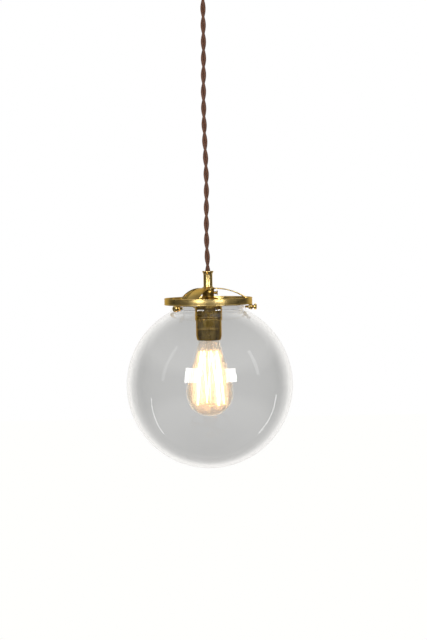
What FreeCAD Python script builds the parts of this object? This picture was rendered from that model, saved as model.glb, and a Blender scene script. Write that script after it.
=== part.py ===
"""Pendant ceiling light: a clear glass globe in a brass gallery, hung on a twisted flex.

Millimetres, +Z up. The origin is where the ceiling bracket's back meets the ceiling, on the
lamp's vertical axis, so everything else hangs at negative Z. -Y is the front.
Directions round the axis are given as a bearing from the front (-Y) towards the right (+X).
"""

import FreeCAD, Part
import Sketcher
import math
import os

Vector = FreeCAD.Vector
Rotation = FreeCAD.Rotation
Placement = FreeCAD.Placement

doc = FreeCAD.newDocument("pendant_light")


# ---------------------------------------------------------------- driving dimensions

DIMENSIONS = [
    # ceiling end
    ("canopy_radius", 50, "outside of the ceiling cup"),
    ("canopy_depth", 35, "ceiling to the underside of the cup"),
    ("canopy_wall", 1, "cup sheet"),
    ("canopy_shoulder", 12, "outside radius of the cup's rounded shoulder"),
    ("bracket_width", 22, "steel strap behind the cup"),
    ("bracket_sheet", 2, "strap thickness"),
    ("ear_width", 12, "turned-down ends of the strap"),
    ("ear_drop", 16, "ceiling to the foot of an ear"),
    ("ear_gap", 1, "ear to the inside of the cup"),
    ("slot_spacing", 60, "between the two ceiling screw slots"),
    ("slot_width", 4.5, "for a 4 mm screw"),
    ("slot_length", 12, "end to end"),
    ("cable_hole_radius", 6, "where the supply cable comes through the strap"),
    ("side_screw_radius", 2, "M4"),
    ("side_screw_drop", 10, "ceiling to the side screws' axis"),
    ("side_screw_length", 7, "under the head"),
    ("side_screw_head_radius", 4, ""),
    ("side_screw_head_height", 2.4, ""),
    ("block_length", 24, "porcelain terminal block"),
    ("block_width", 14, ""),
    ("block_height", 12, ""),
    ("block_start", 12, "axis to the block's near end"),
    ("block_pitch", 7, "between its two tunnels"),
    ("block_tunnel_radius", 1.6, ""),
    ("block_screw_pitch", 11, "between the two screws over a tunnel"),
    ("block_well_radius", 2, "round each screw"),
    ("block_screw_gap", 0.3, "screw to its well"),
    ("block_screw_length", 3, ""),
    ("block_screw_depth", 0.6, "screw's head below the porcelain's face"),
    # flex
    ("cord_radius", 3.2, "round the two twisted strands"),
    ("cord_drop", 337, "upper bush mouth to lower tube mouth"),
    ("cord_insert", 13, "flex inside the lower tube"),
    ("core_radius", 1, "one insulated core"),
    ("core_offset", 1.6, "core to the axis"),
    ("bend_gap", 0.3, "round the flexing stretch of cord"),
    # flared bush and tube
    ("bush_length", 19, "cup to the bush's mouth"),
    ("bush_collar_radius", 8, ""),
    ("bush_collar_height", 2.5, ""),
    ("bush_thread_length", 11, "spigot inside the cup"),
    ("tube_radius", 5.4, "plain stretch of the flared tubes"),
    ("tube_length", 19.5, "mouth to shoulder of the lower tube"),
    ("spigot_length", 18, "thread below the lower tube's shoulder"),
    ("flare_radius", 6.75, "mouth of the flared tubes"),
    ("flare_height", 3.5, ""),
    ("flare_lip", 0.7, "metal at the mouth"),
    ("thread_radius", 5, "M10x1"),
    ("bore_gap", 0.5, "flex to the tubes' bore"),
    ("fit_gap", 0.05, "threads and slip fits"),
    ("nut_across_flats", 14, "M10x1 lock nut"),
    ("nut_height", 3, ""),
    # gallery
    ("hub_radius", 7.5, ""),
    ("hub_height", 3.5, ""),
    ("arm_width", 14, ""),
    ("arm_root_width", 12, "where an arm meets the hub"),
    ("arm_sheet", 1.3, ""),
    ("arm_curve", 67, "radius of the arched arm's top face"),
    ("arm_step", 0.8, "hub's top to the arms' top"),
    ("ring_radius", 53, "outside of the gallery ring"),
    ("ring_wall", 1.2, ""),
    ("ring_height", 8, ""),
    ("ring_drop", 12.5, "hub's top to the ring's top"),
    ("lug_width", 7, ""),
    ("lug_boss_radius", 2.9, ""),
    ("lug_boss_in", 2.3, "boss inside the ring"),
    ("lug_boss_out", 1.2, "boss outside the ring"),
    ("globe_screw_drop", 3, "ring's foot to the globe screws' axis"),
    ("globe_screw_radius", 1.5, "M3"),
    ("globe_screw_head_radius", 3.6, ""),
    ("globe_screw_head_height", 2.5, ""),
    ("globe_screw_stand_off", 3.5, "ring to the underside of the head"),
    ("screw_tip_gap", 0.3, "screw's tip to the glass"),
    # lampholder
    ("neck_radius", 7, "outside of the cap's threaded neck"),
    ("neck_length", 8.5, ""),
    ("cap_radius", 16.4, ""),
    ("cap_wall", 0.8, ""),
    ("cap_height", 36, "neck's top to the cap's open edge"),
    ("window_width", 11.4, ""),
    ("window_height", 3.2, ""),
    ("window_drop", 22.4, "neck's top to the windows' top"),
    ("window_bearing", -39.5, "first of four, degrees"),
    ("rivet_drop", 21.3, "neck's top to the cap rivet's axis"),
    ("rivet_radius", 0.9, "shank"),
    ("rivet_head_radius", 1.6, ""),
    ("rivet_head_height", 0.7, ""),
    ("rivet_tail", 0.5, "closed end inside the cap"),
    ("rivet_tail_radius", 1.3, ""),
    ("neck_screw_drop", 3.2, "neck's top to the neck screw's axis"),
    ("neck_screw_radius", 1.5, "M3"),
    ("neck_screw_head_radius", 2.7, ""),
    ("neck_screw_head_height", 3.4, ""),
    ("neck_screw_length", 3, "tip to the underside of the head"),
    ("porcelain_gap", 1.2, "porcelain to the inside of the cap"),
    ("porcelain_drop", 20.6, "neck's top to the porcelain's top"),
    ("porcelain_height", 11.4, ""),
    ("porcelain_edge_rise", 2, "sloped lower edge"),
    ("porcelain_edge_in", 1.2, ""),
    ("terminal_offset", 8, "axis to a terminal's middle"),
    ("terminal_size", 5, ""),
    ("terminal_height", 4, ""),
    ("terminal_screw_radius", 1.3, ""),
    ("terminal_screw_head_radius", 2.2, ""),
    ("terminal_screw_head_height", 1.4, ""),
    ("terminal_screw_tail", 2.5, "below the terminal"),
    ("terminal_well_depth", 3.5, "in the porcelain, round a screw's tail"),
    ("terminal_well_gap", 0.2, ""),
    ("contact_gap", 0.35, "bulb's cap to the threaded contact shell"),
    ("contact_wall", 0.45, ""),
    ("contact_height", 22, ""),
    ("contact_flange", 4.5, "turned-in top of the shell"),
    ("contact_clearance", 1, "centre contact to the flange"),
    ("contact_foot", 3, "flat end of the centre contact's spring"),
    ("liner_wall", 0.4, ""),
    ("liner_gap", 0.1, ""),
    ("shell_overlap", 4, "shell inside the cap"),
    ("shell_wall", 0.6, ""),
    ("shell_height", 28, ""),
    ("shell_taper_height", 6.8, "rounded foot of the shell"),
    ("shell_mouth_gap", 0.45, "bulb's cap to the shell's turned-in mouth"),
    # bulb
    ("bulb_cap_radius", 13.1, "E27"),
    ("bulb_cap_wall", 0.4, ""),
    ("bulb_cap_height", 19, ""),
    ("bulb_cap_drop", 7, "porcelain's foot to the bulb cap's top"),
    ("bulb_cap_chamfer", 1.5, ""),
    ("bulb_cap_floor", 2, ""),
    ("bulb_insulator_height", 3, ""),
    ("bulb_contact_radius", 4.6, ""),
    ("bulb_contact_height", 1.6, ""),
    ("bulb_neck_gap", 0.3, "glass to the inside of the bulb's cap"),
    ("bulb_neck_insert", 5, ""),
    ("bulb_throat_radius", 14, "where the cone starts"),
    ("bulb_throat_drop", 8, "bulb cap's foot to there"),
    ("bulb_radius", 28.5, "widest"),
    ("bulb_widest_drop", 66, "bulb cap's foot to the widest place"),
    ("bulb_length", 94, "bulb cap's foot to the tip"),
    ("bulb_wall", 0.8, ""),
    ("bulb_cone_curve", 160, "how gently the cone swells"),
    ("stem_radius", 7, ""),
    ("stem_height", 18, ""),
    ("rod_radius", 1.2, "glass rod down the middle"),
    ("rod_foot_drop", 84, "bulb cap's foot to the rod's foot"),
    ("rod_bead", 0.8, "how far the bead at the rod's foot stands out"),
    ("cage_top_drop", 15, "bulb cap's foot to the upper hooks"),
    ("cage_top_radius", 9.5, ""),
    ("cage_foot_drop", 80, "bulb cap's foot to the lower hooks"),
    ("cage_foot_radius", 16.5, ""),
    ("filament_radius", 0.3, ""),
    ("support_radius", 0.25, ""),
    ("support_gap", 0.2, "support to the filament"),
    ("press_gap", 0.3, "lead wire to the stem"),
    # globe
    ("globe_radius", 100, ""),
    ("globe_wall", 2.5, ""),
    ("lip_gap", 4.3, "lip to the inside of the gallery ring"),
    ("lip_overhang", 2.8, "how far the lip stands out from the neck"),
    ("lip_height", 3, ""),
    ("lip_slope", 2, "sloping underside of the lip"),
    ("lip_drop", 4, "ring's top to the lip's top"),
    ("neck_straight", 11.55, "lip's top to the shoulder"),
]

ARM_BEARINGS = {"front": -24, "right": 96, "back": -144}
GLOBE_SCREW_BEARINGS = {"left": -43, "right": 77, "back": -163}
NECK_SCREW_BEARING = 90
RIVET_BEARING = -4
WINDOW_COUNT = 4
CAGE_LOOPS = 7  # hairpins of filament round the cage
PRESS_SHARE = 0.75  # where the stem is pinched round the lead wires, down its height
PRESS_RADIUS_SHARE = 0.45  # of the stem's radius there
OVERCUT = 1.0  # how far a cutting tool reaches past what it cuts

sheet = doc.addObject("Spreadsheet::Sheet", "sizes")
for row, (alias, number, note) in enumerate(DIMENSIONS, start=1):
    sheet.set(f"A{row}", alias)
    sheet.set(f"B{row}", str(number))
    sheet.setAlias(f"B{row}", alias)
    if note:
        sheet.set(f"C{row}", note)
doc.recompute()


class Size:
    """A length that knows its number and the formula that ties it to the sheet."""

    def __init__(self, number, formula):
        self.number = float(number)
        self.formula = formula

    @staticmethod
    def of(value):
        return value if isinstance(value, Size) else Size(value, repr(float(value)))

    def joined(self, sign, other, number):
        return Size(number, f"({self.formula} {sign} {other.formula})")

    def __add__(self, value):
        other = Size.of(value)
        return self.joined("+", other, self.number + other.number)

    def __sub__(self, value):
        other = Size.of(value)
        return self.joined("-", other, self.number - other.number)

    def __mul__(self, value):
        other = Size.of(value)
        return self.joined("*", other, self.number * other.number)

    def __truediv__(self, value):
        other = Size.of(value)
        return self.joined("/", other, self.number / other.number)

    def __neg__(self):
        return Size(-self.number, f"(0 - {self.formula})")

    def root(self):
        return Size(math.sqrt(self.number), f"sqrt({self.formula})")


class Sizes:
    """The sheet's dimensions by name."""

    def __init__(self):
        for alias, _, _ in DIMENSIONS:
            setattr(self, alias, Size(getattr(sheet, alias), f"sizes.{alias}"))


s = Sizes()
ZERO = Size.of(0)


# ---------------------------------------------------------------- levels of the stack

MOUTH_LEVEL = -(s.canopy_depth + s.bush_length)  # upper bush's mouth, where the flex swings
TUBE_LEVEL = MOUTH_LEVEL - s.cord_drop  # lower tube's mouth
HUB_LEVEL = TUBE_LEVEL - s.tube_length  # gallery hub's top
NECK_LEVEL = HUB_LEVEL - s.hub_height  # top of the lampholder's neck
RING_LEVEL = HUB_LEVEL - s.ring_drop
RING_FOOT = RING_LEVEL - s.ring_height
GLOBE_SCREW_LEVEL = RING_FOOT - s.globe_screw_drop
LIP_LEVEL = RING_LEVEL - s.lip_drop
PORCELAIN_LEVEL = NECK_LEVEL - s.porcelain_drop
PORCELAIN_FOOT = PORCELAIN_LEVEL - s.porcelain_height
SHELL_LEVEL = NECK_LEVEL - s.cap_height + s.shell_overlap
BULB_CAP_LEVEL = PORCELAIN_FOOT - s.bulb_cap_drop
BULB_LEVEL = BULB_CAP_LEVEL - s.bulb_cap_height  # foot of the bulb's cap

BORE = s.cord_radius + s.bore_gap  # of the flared tubes
LIP_RADIUS = s.ring_radius - s.ring_wall - s.lip_gap
GLOBE_NECK = LIP_RADIUS - s.lip_overhang  # outside radius of the glass neck
BULB_NECK = s.bulb_cap_radius - s.bulb_cap_wall - s.bulb_neck_gap
CONTACT_RADIUS = s.bulb_cap_radius + s.contact_gap + s.contact_wall


# ---------------------------------------------------------------- ways of making a piece

made = {}  # node name to finished object


def finished(name, thing):
    thing.Label = name
    made[name] = thing
    return thing


def bind(thing, **values):
    """Sets properties, each tied to the sheet where it is a Size."""
    for prop, value in values.items():
        if isinstance(value, Size):
            thing.setExpression(prop, value.formula)
        else:
            setattr(thing, prop, value)
    return thing


def put(thing, x=ZERO, y=ZERO, z=ZERO, turn=None):
    """Places a thing, its position tied to the sheet."""
    x, y, z = Size.of(x), Size.of(y), Size.of(z)
    thing.Placement = Placement(Vector(x.number, y.number, z.number), turn or Rotation())
    for axis, value in (("x", x), ("y", y), ("z", z)):
        thing.setExpression(f"Placement.Base.{axis}", value.formula)
    return thing


def primitive(kind, name, **values):
    return bind(doc.addObject(f"Part::{kind}", name), **values)


def cylinder(name, radius, height, x=ZERO, y=ZERO, z=ZERO, turn=None):
    rod = primitive("Cylinder", name, Radius=radius, Height=height)
    return put(rod, x, y, z, turn)


def block(name, length, width, height, x=ZERO, y=ZERO, z=ZERO, turn=None):
    box = primitive("Box", name, Length=length, Width=width, Height=height)
    return put(box, x, y, z, turn)


def cut(name, base, tool):
    return bind(doc.addObject("Part::Cut", name), Base=base, Tool=tool)


def common(name, base, tool):
    return bind(doc.addObject("Part::Common", name), Base=base, Tool=tool)


def fused(name, shapes):
    return bind(doc.addObject("Part::MultiFuse", name), Shapes=shapes)


def group(name, shapes):
    """Separate solids that share one node."""
    return bind(doc.addObject("Part::Compound", name), Links=shapes)


def outward(bearing):
    """The level direction of a bearing."""
    angle = math.radians(bearing)
    return Vector(math.sin(angle), -math.cos(angle), 0)


def lying(bearing):
    """The turn that lays a piece's own +Z level, pointing outward along a bearing."""
    return Rotation(Vector(0, 0, 1), outward(bearing))


def at_bearing(bearing, radius):
    direction = outward(bearing)
    return radius * direction.x, radius * direction.y


def arc_between(start, end, radius, side):
    """An arc from start to end, its centre to the left (side 1) or right (side -1) of the way.
    Returns the arc and whether it runs from start to end anticlockwise."""
    chord = end - start
    half = chord.Length / 2
    normal = Vector(-chord.y, chord.x, 0).normalize()
    height = math.sqrt(max(radius**2 - half**2, 0))
    centre = start + chord * 0.5 + normal * (height * side)
    first, last = (start, end) if side > 0 else (end, start)
    a, b = (math.atan2((p - centre).y, (p - centre).x) for p in (first, last))
    circle = Part.Circle(centre, Vector(0, 0, 1), radius)
    return Part.ArcOfCircle(circle, a, b if b > a else b + 2 * math.pi), side > 0


def draw(sketch, outline):
    """A closed outline, every point tied to the sheet. A point is (across, along), and a third
    item, (radius, side), makes the stretch from that point to the next one an arc."""
    points = [(Size.of(p[0]), Size.of(p[1])) for p in outline]
    ends = []
    for i, point in enumerate(outline):
        here, there = points[i], points[(i + 1) % len(points)]
        start = Vector(here[0].number, here[1].number, 0)
        end = Vector(there[0].number, there[1].number, 0)
        if len(point) == 3:
            radius, side = Size.of(point[2][0]), point[2][1]
            arc, forward = arc_between(start, end, radius.number, side)
            geometry = sketch.addGeometry(arc)
            ends.append((geometry, 1, 2) if forward else (geometry, 2, 1))
            tied(sketch, Sketcher.Constraint("Radius", geometry, radius.number), radius)
        else:
            geometry = sketch.addGeometry(Part.LineSegment(start, end))
            ends.append((geometry, 1, 2))
    for i, (geometry, start, _) in enumerate(ends):
        before, _, before_end = ends[i - 1]
        sketch.addConstraint(
            Sketcher.Constraint("Coincident", before, before_end, geometry, start)
        )
        for kind, axis, value in zip(("DistanceX", "DistanceY"), (-2, -1), points[i]):
            if value is ZERO:
                sketch.addConstraint(Sketcher.Constraint("PointOnObject", geometry, start, axis))
            else:
                rule = Sketcher.Constraint(kind, -1, 1, geometry, start, value.number)
                tied(sketch, rule, value)


def tied(sketch, constraint, size):
    index = sketch.addConstraint(constraint)
    sketch.setExpression(f"Constraints[{index}]", size.formula)


def new_body(name):
    return doc.addObject("PartDesign::Body", f"{name}_body")


def new_sketch(body, name, plane, offset=None):
    """A sketch on one of the body's own origin planes."""
    sketch = body.newObject("Sketcher::SketchObject", name)
    origin = next(f for f in body.Origin.OriginFeatures if f.Role == plane)
    sketch.AttachmentSupport = [(origin, "")]
    sketch.MapMode = "FlatFace"
    if offset:
        sketch.AttachmentOffset = offset
    return sketch


DOWNWARD = Placement(Vector(), Rotation(Vector(1, 0, 0), 180))


def turned(name, outline, upward=False):
    """A body turned about its own Z axis. The outline is (radius, depth) with depth running down
    from the body's own origin, or (radius, height) with height running up."""
    body = new_body(name)
    sketch = new_sketch(body, f"{name}_outline", "XZ_Plane", None if upward else DOWNWARD)
    draw(sketch, outline)
    feature = body.newObject("PartDesign::Revolution", f"{name}_turned")
    feature.Profile = sketch
    feature.ReferenceAxis = (sketch, ["V_Axis"])
    feature.Angle = 360
    body.Tip = feature
    return body


def tube_outline(inner, outer, height):
    return [(inner, ZERO), (outer, ZERO), (outer, height), (inner, height)]


def padded(body, sketch, name, thickness, middle=True):
    feature = body.newObject("PartDesign::Pad", name)
    feature.Profile = sketch
    bind(feature, Length=thickness)
    if middle:
        feature.Midplane = True
    body.Tip = feature
    return feature


def through_pocket(body, sketch, name):
    feature = body.newObject("PartDesign::Pocket", name)
    feature.Profile = sketch
    feature.Type = "ThroughAll"
    feature.Midplane = True
    body.Tip = feature
    return feature


def cap_curve(reach, rise):
    """Radius of an arc that starts square to one side and turns through a reach and a rise."""
    return (reach * reach + rise * rise) / (rise * 2)


OUTER_FLARE = cap_curve(s.flare_height, s.flare_radius - s.tube_radius)
INNER_FLARE = cap_curve(s.flare_height, s.flare_radius - s.flare_lip - BORE)


def rounded_path(points):
    """Straight runs between points joined by tangent arcs, as one wire."""
    edges = []
    last = points[0]
    for before, corner, after in zip(points, points[1:], points[2:]):
        arriving = (before - corner).normalize()
        leaving = (after - corner).normalize()
        half_turn = (math.pi - arriving.getAngle(leaving)) / 2
        shorter = min((before - corner).Length, (after - corner).Length)
        setback = 0.45 * shorter
        radius = setback / math.tan(half_turn)
        start = corner + arriving * setback
        end = corner + leaving * setback
        inward = (arriving + leaving).normalize()
        middle = corner + inward * (radius / math.cos(half_turn) - radius)
        edges.append(Part.LineSegment(last, start).toShape())
        edges.append(Part.Arc(start, middle, end).toShape())
        last = end
    edges.append(Part.LineSegment(last, points[-1]).toShape())
    return Part.Wire(edges)


def wire_along(points, radius, corners=0):
    """A round wire swept along points. corners 0 rounds the path, 2 keeps it angular."""
    path = Part.makePolygon(points) if corners else rounded_path(points)
    circle = Part.Circle(points[0], points[1] - points[0], radius)
    profile = Part.Wire([circle.toShape()])
    return path.makePipeShell([profile], True, False, corners)


def plain_feature(name, shape):
    feature = doc.addObject("Part::Feature", name)
    feature.Shape = shape
    return feature


# ---------------------------------------------------------------- ceiling end


def make_canopy():
    """Spun cup, open to the ceiling, with a hole in its middle for the bush."""
    r, d, w, c = s.canopy_radius, s.canopy_depth, s.canopy_wall, s.canopy_shoulder
    hole = s.thread_radius + s.fit_gap
    cup = turned("canopy_cup", [
        (r - w, ZERO),
        (r, ZERO),
        (r, d - c, (c, 1)),
        (r - c, d),
        (hole, d),
        (hole, d - w),
        (r - c, d - w, (c - w, -1)),
        (r - w, d - c),
    ])
    reach = r * 2.4
    drill = cylinder("canopy_side_holes", s.side_screw_radius + s.fit_gap * 4, reach,
                     x=-(reach / 2), z=-s.side_screw_drop, turn=lying(90))
    finished("canopy", cut("canopy_drilled", cup, drill))


def make_ceiling_bracket():
    """Steel strap with turned-down ears, slotted for two ceiling screws."""
    body = new_body("ceiling_bracket")
    reach = s.canopy_radius - s.canopy_wall - s.ear_gap
    t = s.bracket_sheet
    profile = new_sketch(body, "bracket_profile", "XZ_Plane", DOWNWARD)
    draw(profile, [
        (-reach, ZERO),
        (reach, ZERO),
        (reach, s.ear_drop),
        (reach - t, s.ear_drop),
        (reach - t, t),
        (t - reach, t),
        (t - reach, s.ear_drop),
        (-reach, s.ear_drop),
    ])
    padded(body, profile, "bracket_strap", s.bracket_width)
    corners = new_sketch(body, "bracket_corners", "YZ_Plane")
    for side in (1, -1):
        edge, outside = s.ear_width / 2 * side, s.bracket_width * side
        draw(corners, [
            (edge, -t - OVERCUT / 2),
            (outside, -t - OVERCUT / 2),
            (outside, -s.ear_drop - OVERCUT),
            (edge, -s.ear_drop - OVERCUT),
        ])
    through_pocket(body, corners, "bracket_ears")
    ends = new_sketch(body, "bracket_end_cuts", "XY_Plane")
    for x_side in (1, -1):
        for y_side in (1, -1):
            x_far, y_far = (reach + OVERCUT) * x_side, s.bracket_width * y_side
            y_near = s.ear_width / 2 * y_side
            slope = (s.bracket_width - s.ear_width) / 2
            draw(ends, [
                (x_far, y_near),
                (x_far, y_far),
                ((reach - t - slope) * x_side, y_far),
                ((reach - t - slope) * x_side, s.bracket_width / 2 * y_side),
                ((reach - t) * x_side, y_near),
            ])
    through_pocket(body, ends, "bracket_tapered_ends")
    tools = []
    straight = s.slot_length - s.slot_width
    for name, side in (("left", -1), ("right", 1)):
        middle = s.slot_spacing / 2 * side
        tools.append(block(f"slot_{name}", straight, s.slot_width, t * 3,
                           x=middle - straight / 2, y=-(s.slot_width / 2), z=-(t * 2)))
        for end in (-1, 1):
            tools.append(cylinder(f"slot_{name}_end_{end + 2}", s.slot_width / 2, t * 3,
                                  x=middle + straight / 2 * end, z=-(t * 2)))
    cable = cylinder("bracket_cable_hole", s.cable_hole_radius, t * 3, z=-(t * 2))
    reach_across = reach * 2.4
    thread = cylinder("bracket_ear_threads", s.side_screw_radius + s.fit_gap, reach_across,
                      x=-(reach_across / 2), z=-s.side_screw_drop, turn=lying(90))
    drills = fused("bracket_drills", [*tools, cable, thread])
    finished("ceiling_bracket", cut("bracket_drilled", body, drills))


def make_canopy_screws():
    """Two domed screws through the cup's side into the strap's ears."""
    for side, bearing in (("left", -90), ("right", 90)):
        name = f"canopy_screw_{side}"
        head = s.side_screw_head_height
        dome = cap_curve(s.side_screw_head_radius, head)
        body = turned(name, [
            (ZERO, -s.side_screw_length),
            (s.side_screw_radius, -s.side_screw_length),
            (s.side_screw_radius, ZERO),
            (s.side_screw_head_radius, ZERO, (dome, 1)),
            (ZERO, head),
        ], upward=True)
        x, y = at_bearing(bearing, s.canopy_radius)
        finished(name, put(body, x, y, -s.side_screw_drop, lying(bearing)))


def make_canopy_bush():
    """Flared brass bush that the flex comes out of, screwed through the cup."""
    collar = s.bush_thread_length
    mouth = collar + s.bush_length
    body = turned("canopy_bush", [
        (BORE, ZERO),
        (s.thread_radius, ZERO),
        (s.thread_radius, collar),
        (s.bush_collar_radius, collar),
        (s.bush_collar_radius, collar + s.bush_collar_height),
        (s.tube_radius, collar + s.bush_collar_height),
        (s.tube_radius, mouth - s.flare_height, (OUTER_FLARE, -1)),
        (s.flare_radius, mouth),
        (s.flare_radius - s.flare_lip, mouth, (INNER_FLARE, 1)),
        (BORE, mouth - s.flare_height),
    ])
    finished("canopy_bush", put(body, z=s.bush_thread_length - s.canopy_depth))


def make_lock_nut(name, level):
    """Hexagonal M10x1 nut; level is its underside."""
    across = s.nut_across_flats / math.sqrt(3)
    hexagon = primitive("Prism", f"{name}_hexagon", Polygon=6, Circumradius=across,
                        Height=s.nut_height)
    thread = cylinder(f"{name}_thread", s.thread_radius + s.fit_gap, s.nut_height * 3,
                      z=-s.nut_height)
    finished(name, put(cut(f"{name}_tapped", hexagon, thread), z=level))


def make_terminal_block():
    """Porcelain block under the strap, where the flex meets the supply."""
    half = s.block_width / 2
    top = -s.bracket_sheet
    body = block("terminal_block_body", s.block_length, s.block_width, s.block_height,
                 x=s.block_start, y=-half, z=top - s.block_height)
    axis_level = top - s.block_height / 2
    tunnels = []
    screws = []
    for name, side in (("front", -1), ("back", 1)):
        y = s.block_pitch / 2 * side
        tunnels.append(cylinder(f"block_tunnel_{name}", s.block_tunnel_radius,
                                s.block_length * 1.2, x=s.block_start - OVERCUT, y=y,
                                z=axis_level, turn=lying(90)))
        for place, hand in (("near", -1), ("far", 1)):
            x = s.block_start + s.block_length / 2 + s.block_screw_pitch / 2 * hand
            well = s.block_height / 2 + OVERCUT
            tunnels.append(cylinder(f"block_well_{name}_{place}", s.block_well_radius, well,
                                    x=x, y=y, z=axis_level - well))
            screws.append(cylinder(f"block_screw_{name}_{place}",
                                   s.block_well_radius - s.block_screw_gap,
                                   s.block_screw_length, x=x, y=y,
                                   z=axis_level - s.block_height / 2 + s.block_screw_depth))
    finished("terminal_block", cut("block_drilled", body, fused("block_tunnels", tunnels)))
    finished("terminal_block_screws", group("block_screws", screws))


def make_canopy_leads():
    """The flex's two cores, from the bush's top to the terminal block."""
    start = (s.bush_thread_length - s.canopy_depth + s.bend_gap).number
    entry = -(s.bracket_sheet + s.block_height / 2).number
    reach = s.block_start.number
    radius = s.core_radius.number
    for name, side in (("canopy_live_lead", -1), ("canopy_neutral_lead", 1)):
        near = s.core_offset.number * side
        far = s.block_pitch.number / 2 * side
        points = [
            Vector(0, near, start),
            Vector(0, near, start + 0.45 * (entry - start)),
            Vector(0.35 * reach, (near + far) / 2, entry - 1),
            Vector(0.65 * reach, far, entry),
            Vector(reach + 2, far, entry),
        ]
        finished(name, plain_feature(name, wire_along(points, radius)))


def make_ceiling_end():
    make_ceiling_bracket()
    make_canopy()
    make_canopy_screws()
    make_canopy_bush()
    make_lock_nut("bush_locknut", s.canopy_wall - s.canopy_depth)
    make_terminal_block()
    make_canopy_leads()


# ---------------------------------------------------------------- flex


def make_cord():
    """The flex hangs dead straight: a fixed tail in the bush, the short stretch that flexes at
    its mouth, and the long drop, hollowed on top so that it can swing round that stretch."""
    socket = s.cord_radius + s.bend_gap
    tail_top = s.bush_thread_length - s.canopy_depth
    tail_foot = MOUTH_LEVEL + socket
    tail = cylinder("cord_tail_run", s.cord_radius, tail_top - tail_foot, z=tail_foot)
    finished("cord_tail", tail)
    bend = primitive("Sphere", "cord_bend_ball", Radius=s.cord_radius)
    finished("cord_bend", put(bend, z=MOUTH_LEVEL))
    rim = (socket * socket - s.cord_radius * s.cord_radius).root()
    foot = s.cord_drop + s.cord_insert
    body = turned("cord", [
        (ZERO, socket, (socket, -1)),
        (s.cord_radius, rim),
        (s.cord_radius, foot),
        (ZERO, foot),
    ])
    finished("cord", put(body, z=MOUTH_LEVEL))


# ---------------------------------------------------------------- gallery


def make_cord_tube():
    """Flared tube that takes the flex; its threaded spigot carries gallery and lampholder."""
    body = turned("cord_tube", [
        (s.flare_radius - s.flare_lip, ZERO),
        (s.flare_radius, ZERO, (OUTER_FLARE, -1)),
        (s.tube_radius, s.flare_height),
        (s.tube_radius, s.tube_length),
        (s.thread_radius, s.tube_length),
        (s.thread_radius, s.tube_length + s.spigot_length),
        (BORE, s.tube_length + s.spigot_length),
        (BORE, s.flare_height, (INNER_FLARE, 1)),
    ])
    finished("cord_tube", put(body, z=TUBE_LEVEL))


def make_hub_and_ring():
    bore = s.thread_radius + s.fit_gap
    hub = turned("gallery_hub", tube_outline(bore, s.hub_radius, s.hub_height))
    finished("gallery_hub", put(hub, z=HUB_LEVEL))
    inner = s.ring_radius - s.ring_wall
    ring = turned("gallery_ring", tube_outline(inner, s.ring_radius, s.ring_height))
    finished("gallery_ring", put(ring, z=RING_LEVEL))


def make_arm(place, bearing):
    """One arched strip, level where it leaves the hub and falling to the ring's inside."""
    name = f"gallery_arm_{place}"
    inner = s.hub_radius
    outer = s.ring_radius - s.ring_wall
    root = inner - OVERCUT * 2  # trimmed off on the hub
    end = outer + OVERCUT * 3  # trimmed off on the ring
    t = s.arm_sheet
    under = s.arm_curve - t
    run = end - inner
    drop_top = s.arm_curve - (s.arm_curve * s.arm_curve - run * run).root()
    drop_under = s.arm_curve - (under * under - run * run).root()
    body = new_body(name)
    side = new_sketch(body, f"{name}_side", "XZ_Plane", DOWNWARD)
    draw(side, [
        (root, ZERO),
        (inner, ZERO, (s.arm_curve, 1)),
        (end, drop_top),
        (end, drop_under, (under, -1)),
        (inner, t),
        (root, t),
    ])
    padded(body, side, f"{name}_strip", s.arm_width)
    trims = new_sketch(body, f"{name}_root", "XY_Plane")
    wide, narrow = s.arm_width / 2, s.arm_root_width / 2
    taper = inner + s.arm_width / 4
    for hand in (1, -1):
        draw(trims, [
            (root - OVERCUT, narrow * hand),
            (inner, narrow * hand),
            (taper, wide * hand),
            (taper, (wide + OVERCUT) * hand),
            (root - OVERCUT, (wide + OVERCUT) * hand),
        ])
    through_pocket(body, trims, f"{name}_tapered")
    put(body, z=HUB_LEVEL - s.arm_step, turn=Rotation(Vector(0, 0, 1), bearing - 90))
    depth = s.ring_drop + s.ring_height
    within = cylinder(f"{name}_ring_bore", outer, depth, z=HUB_LEVEL - depth)
    hub = cylinder(f"{name}_hub_side", inner, depth * 1.1, z=HUB_LEVEL - depth * 1.05)
    zone = cut(f"{name}_zone", within, hub)
    finished(name, common(f"{name}_trimmed", body, zone))


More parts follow.
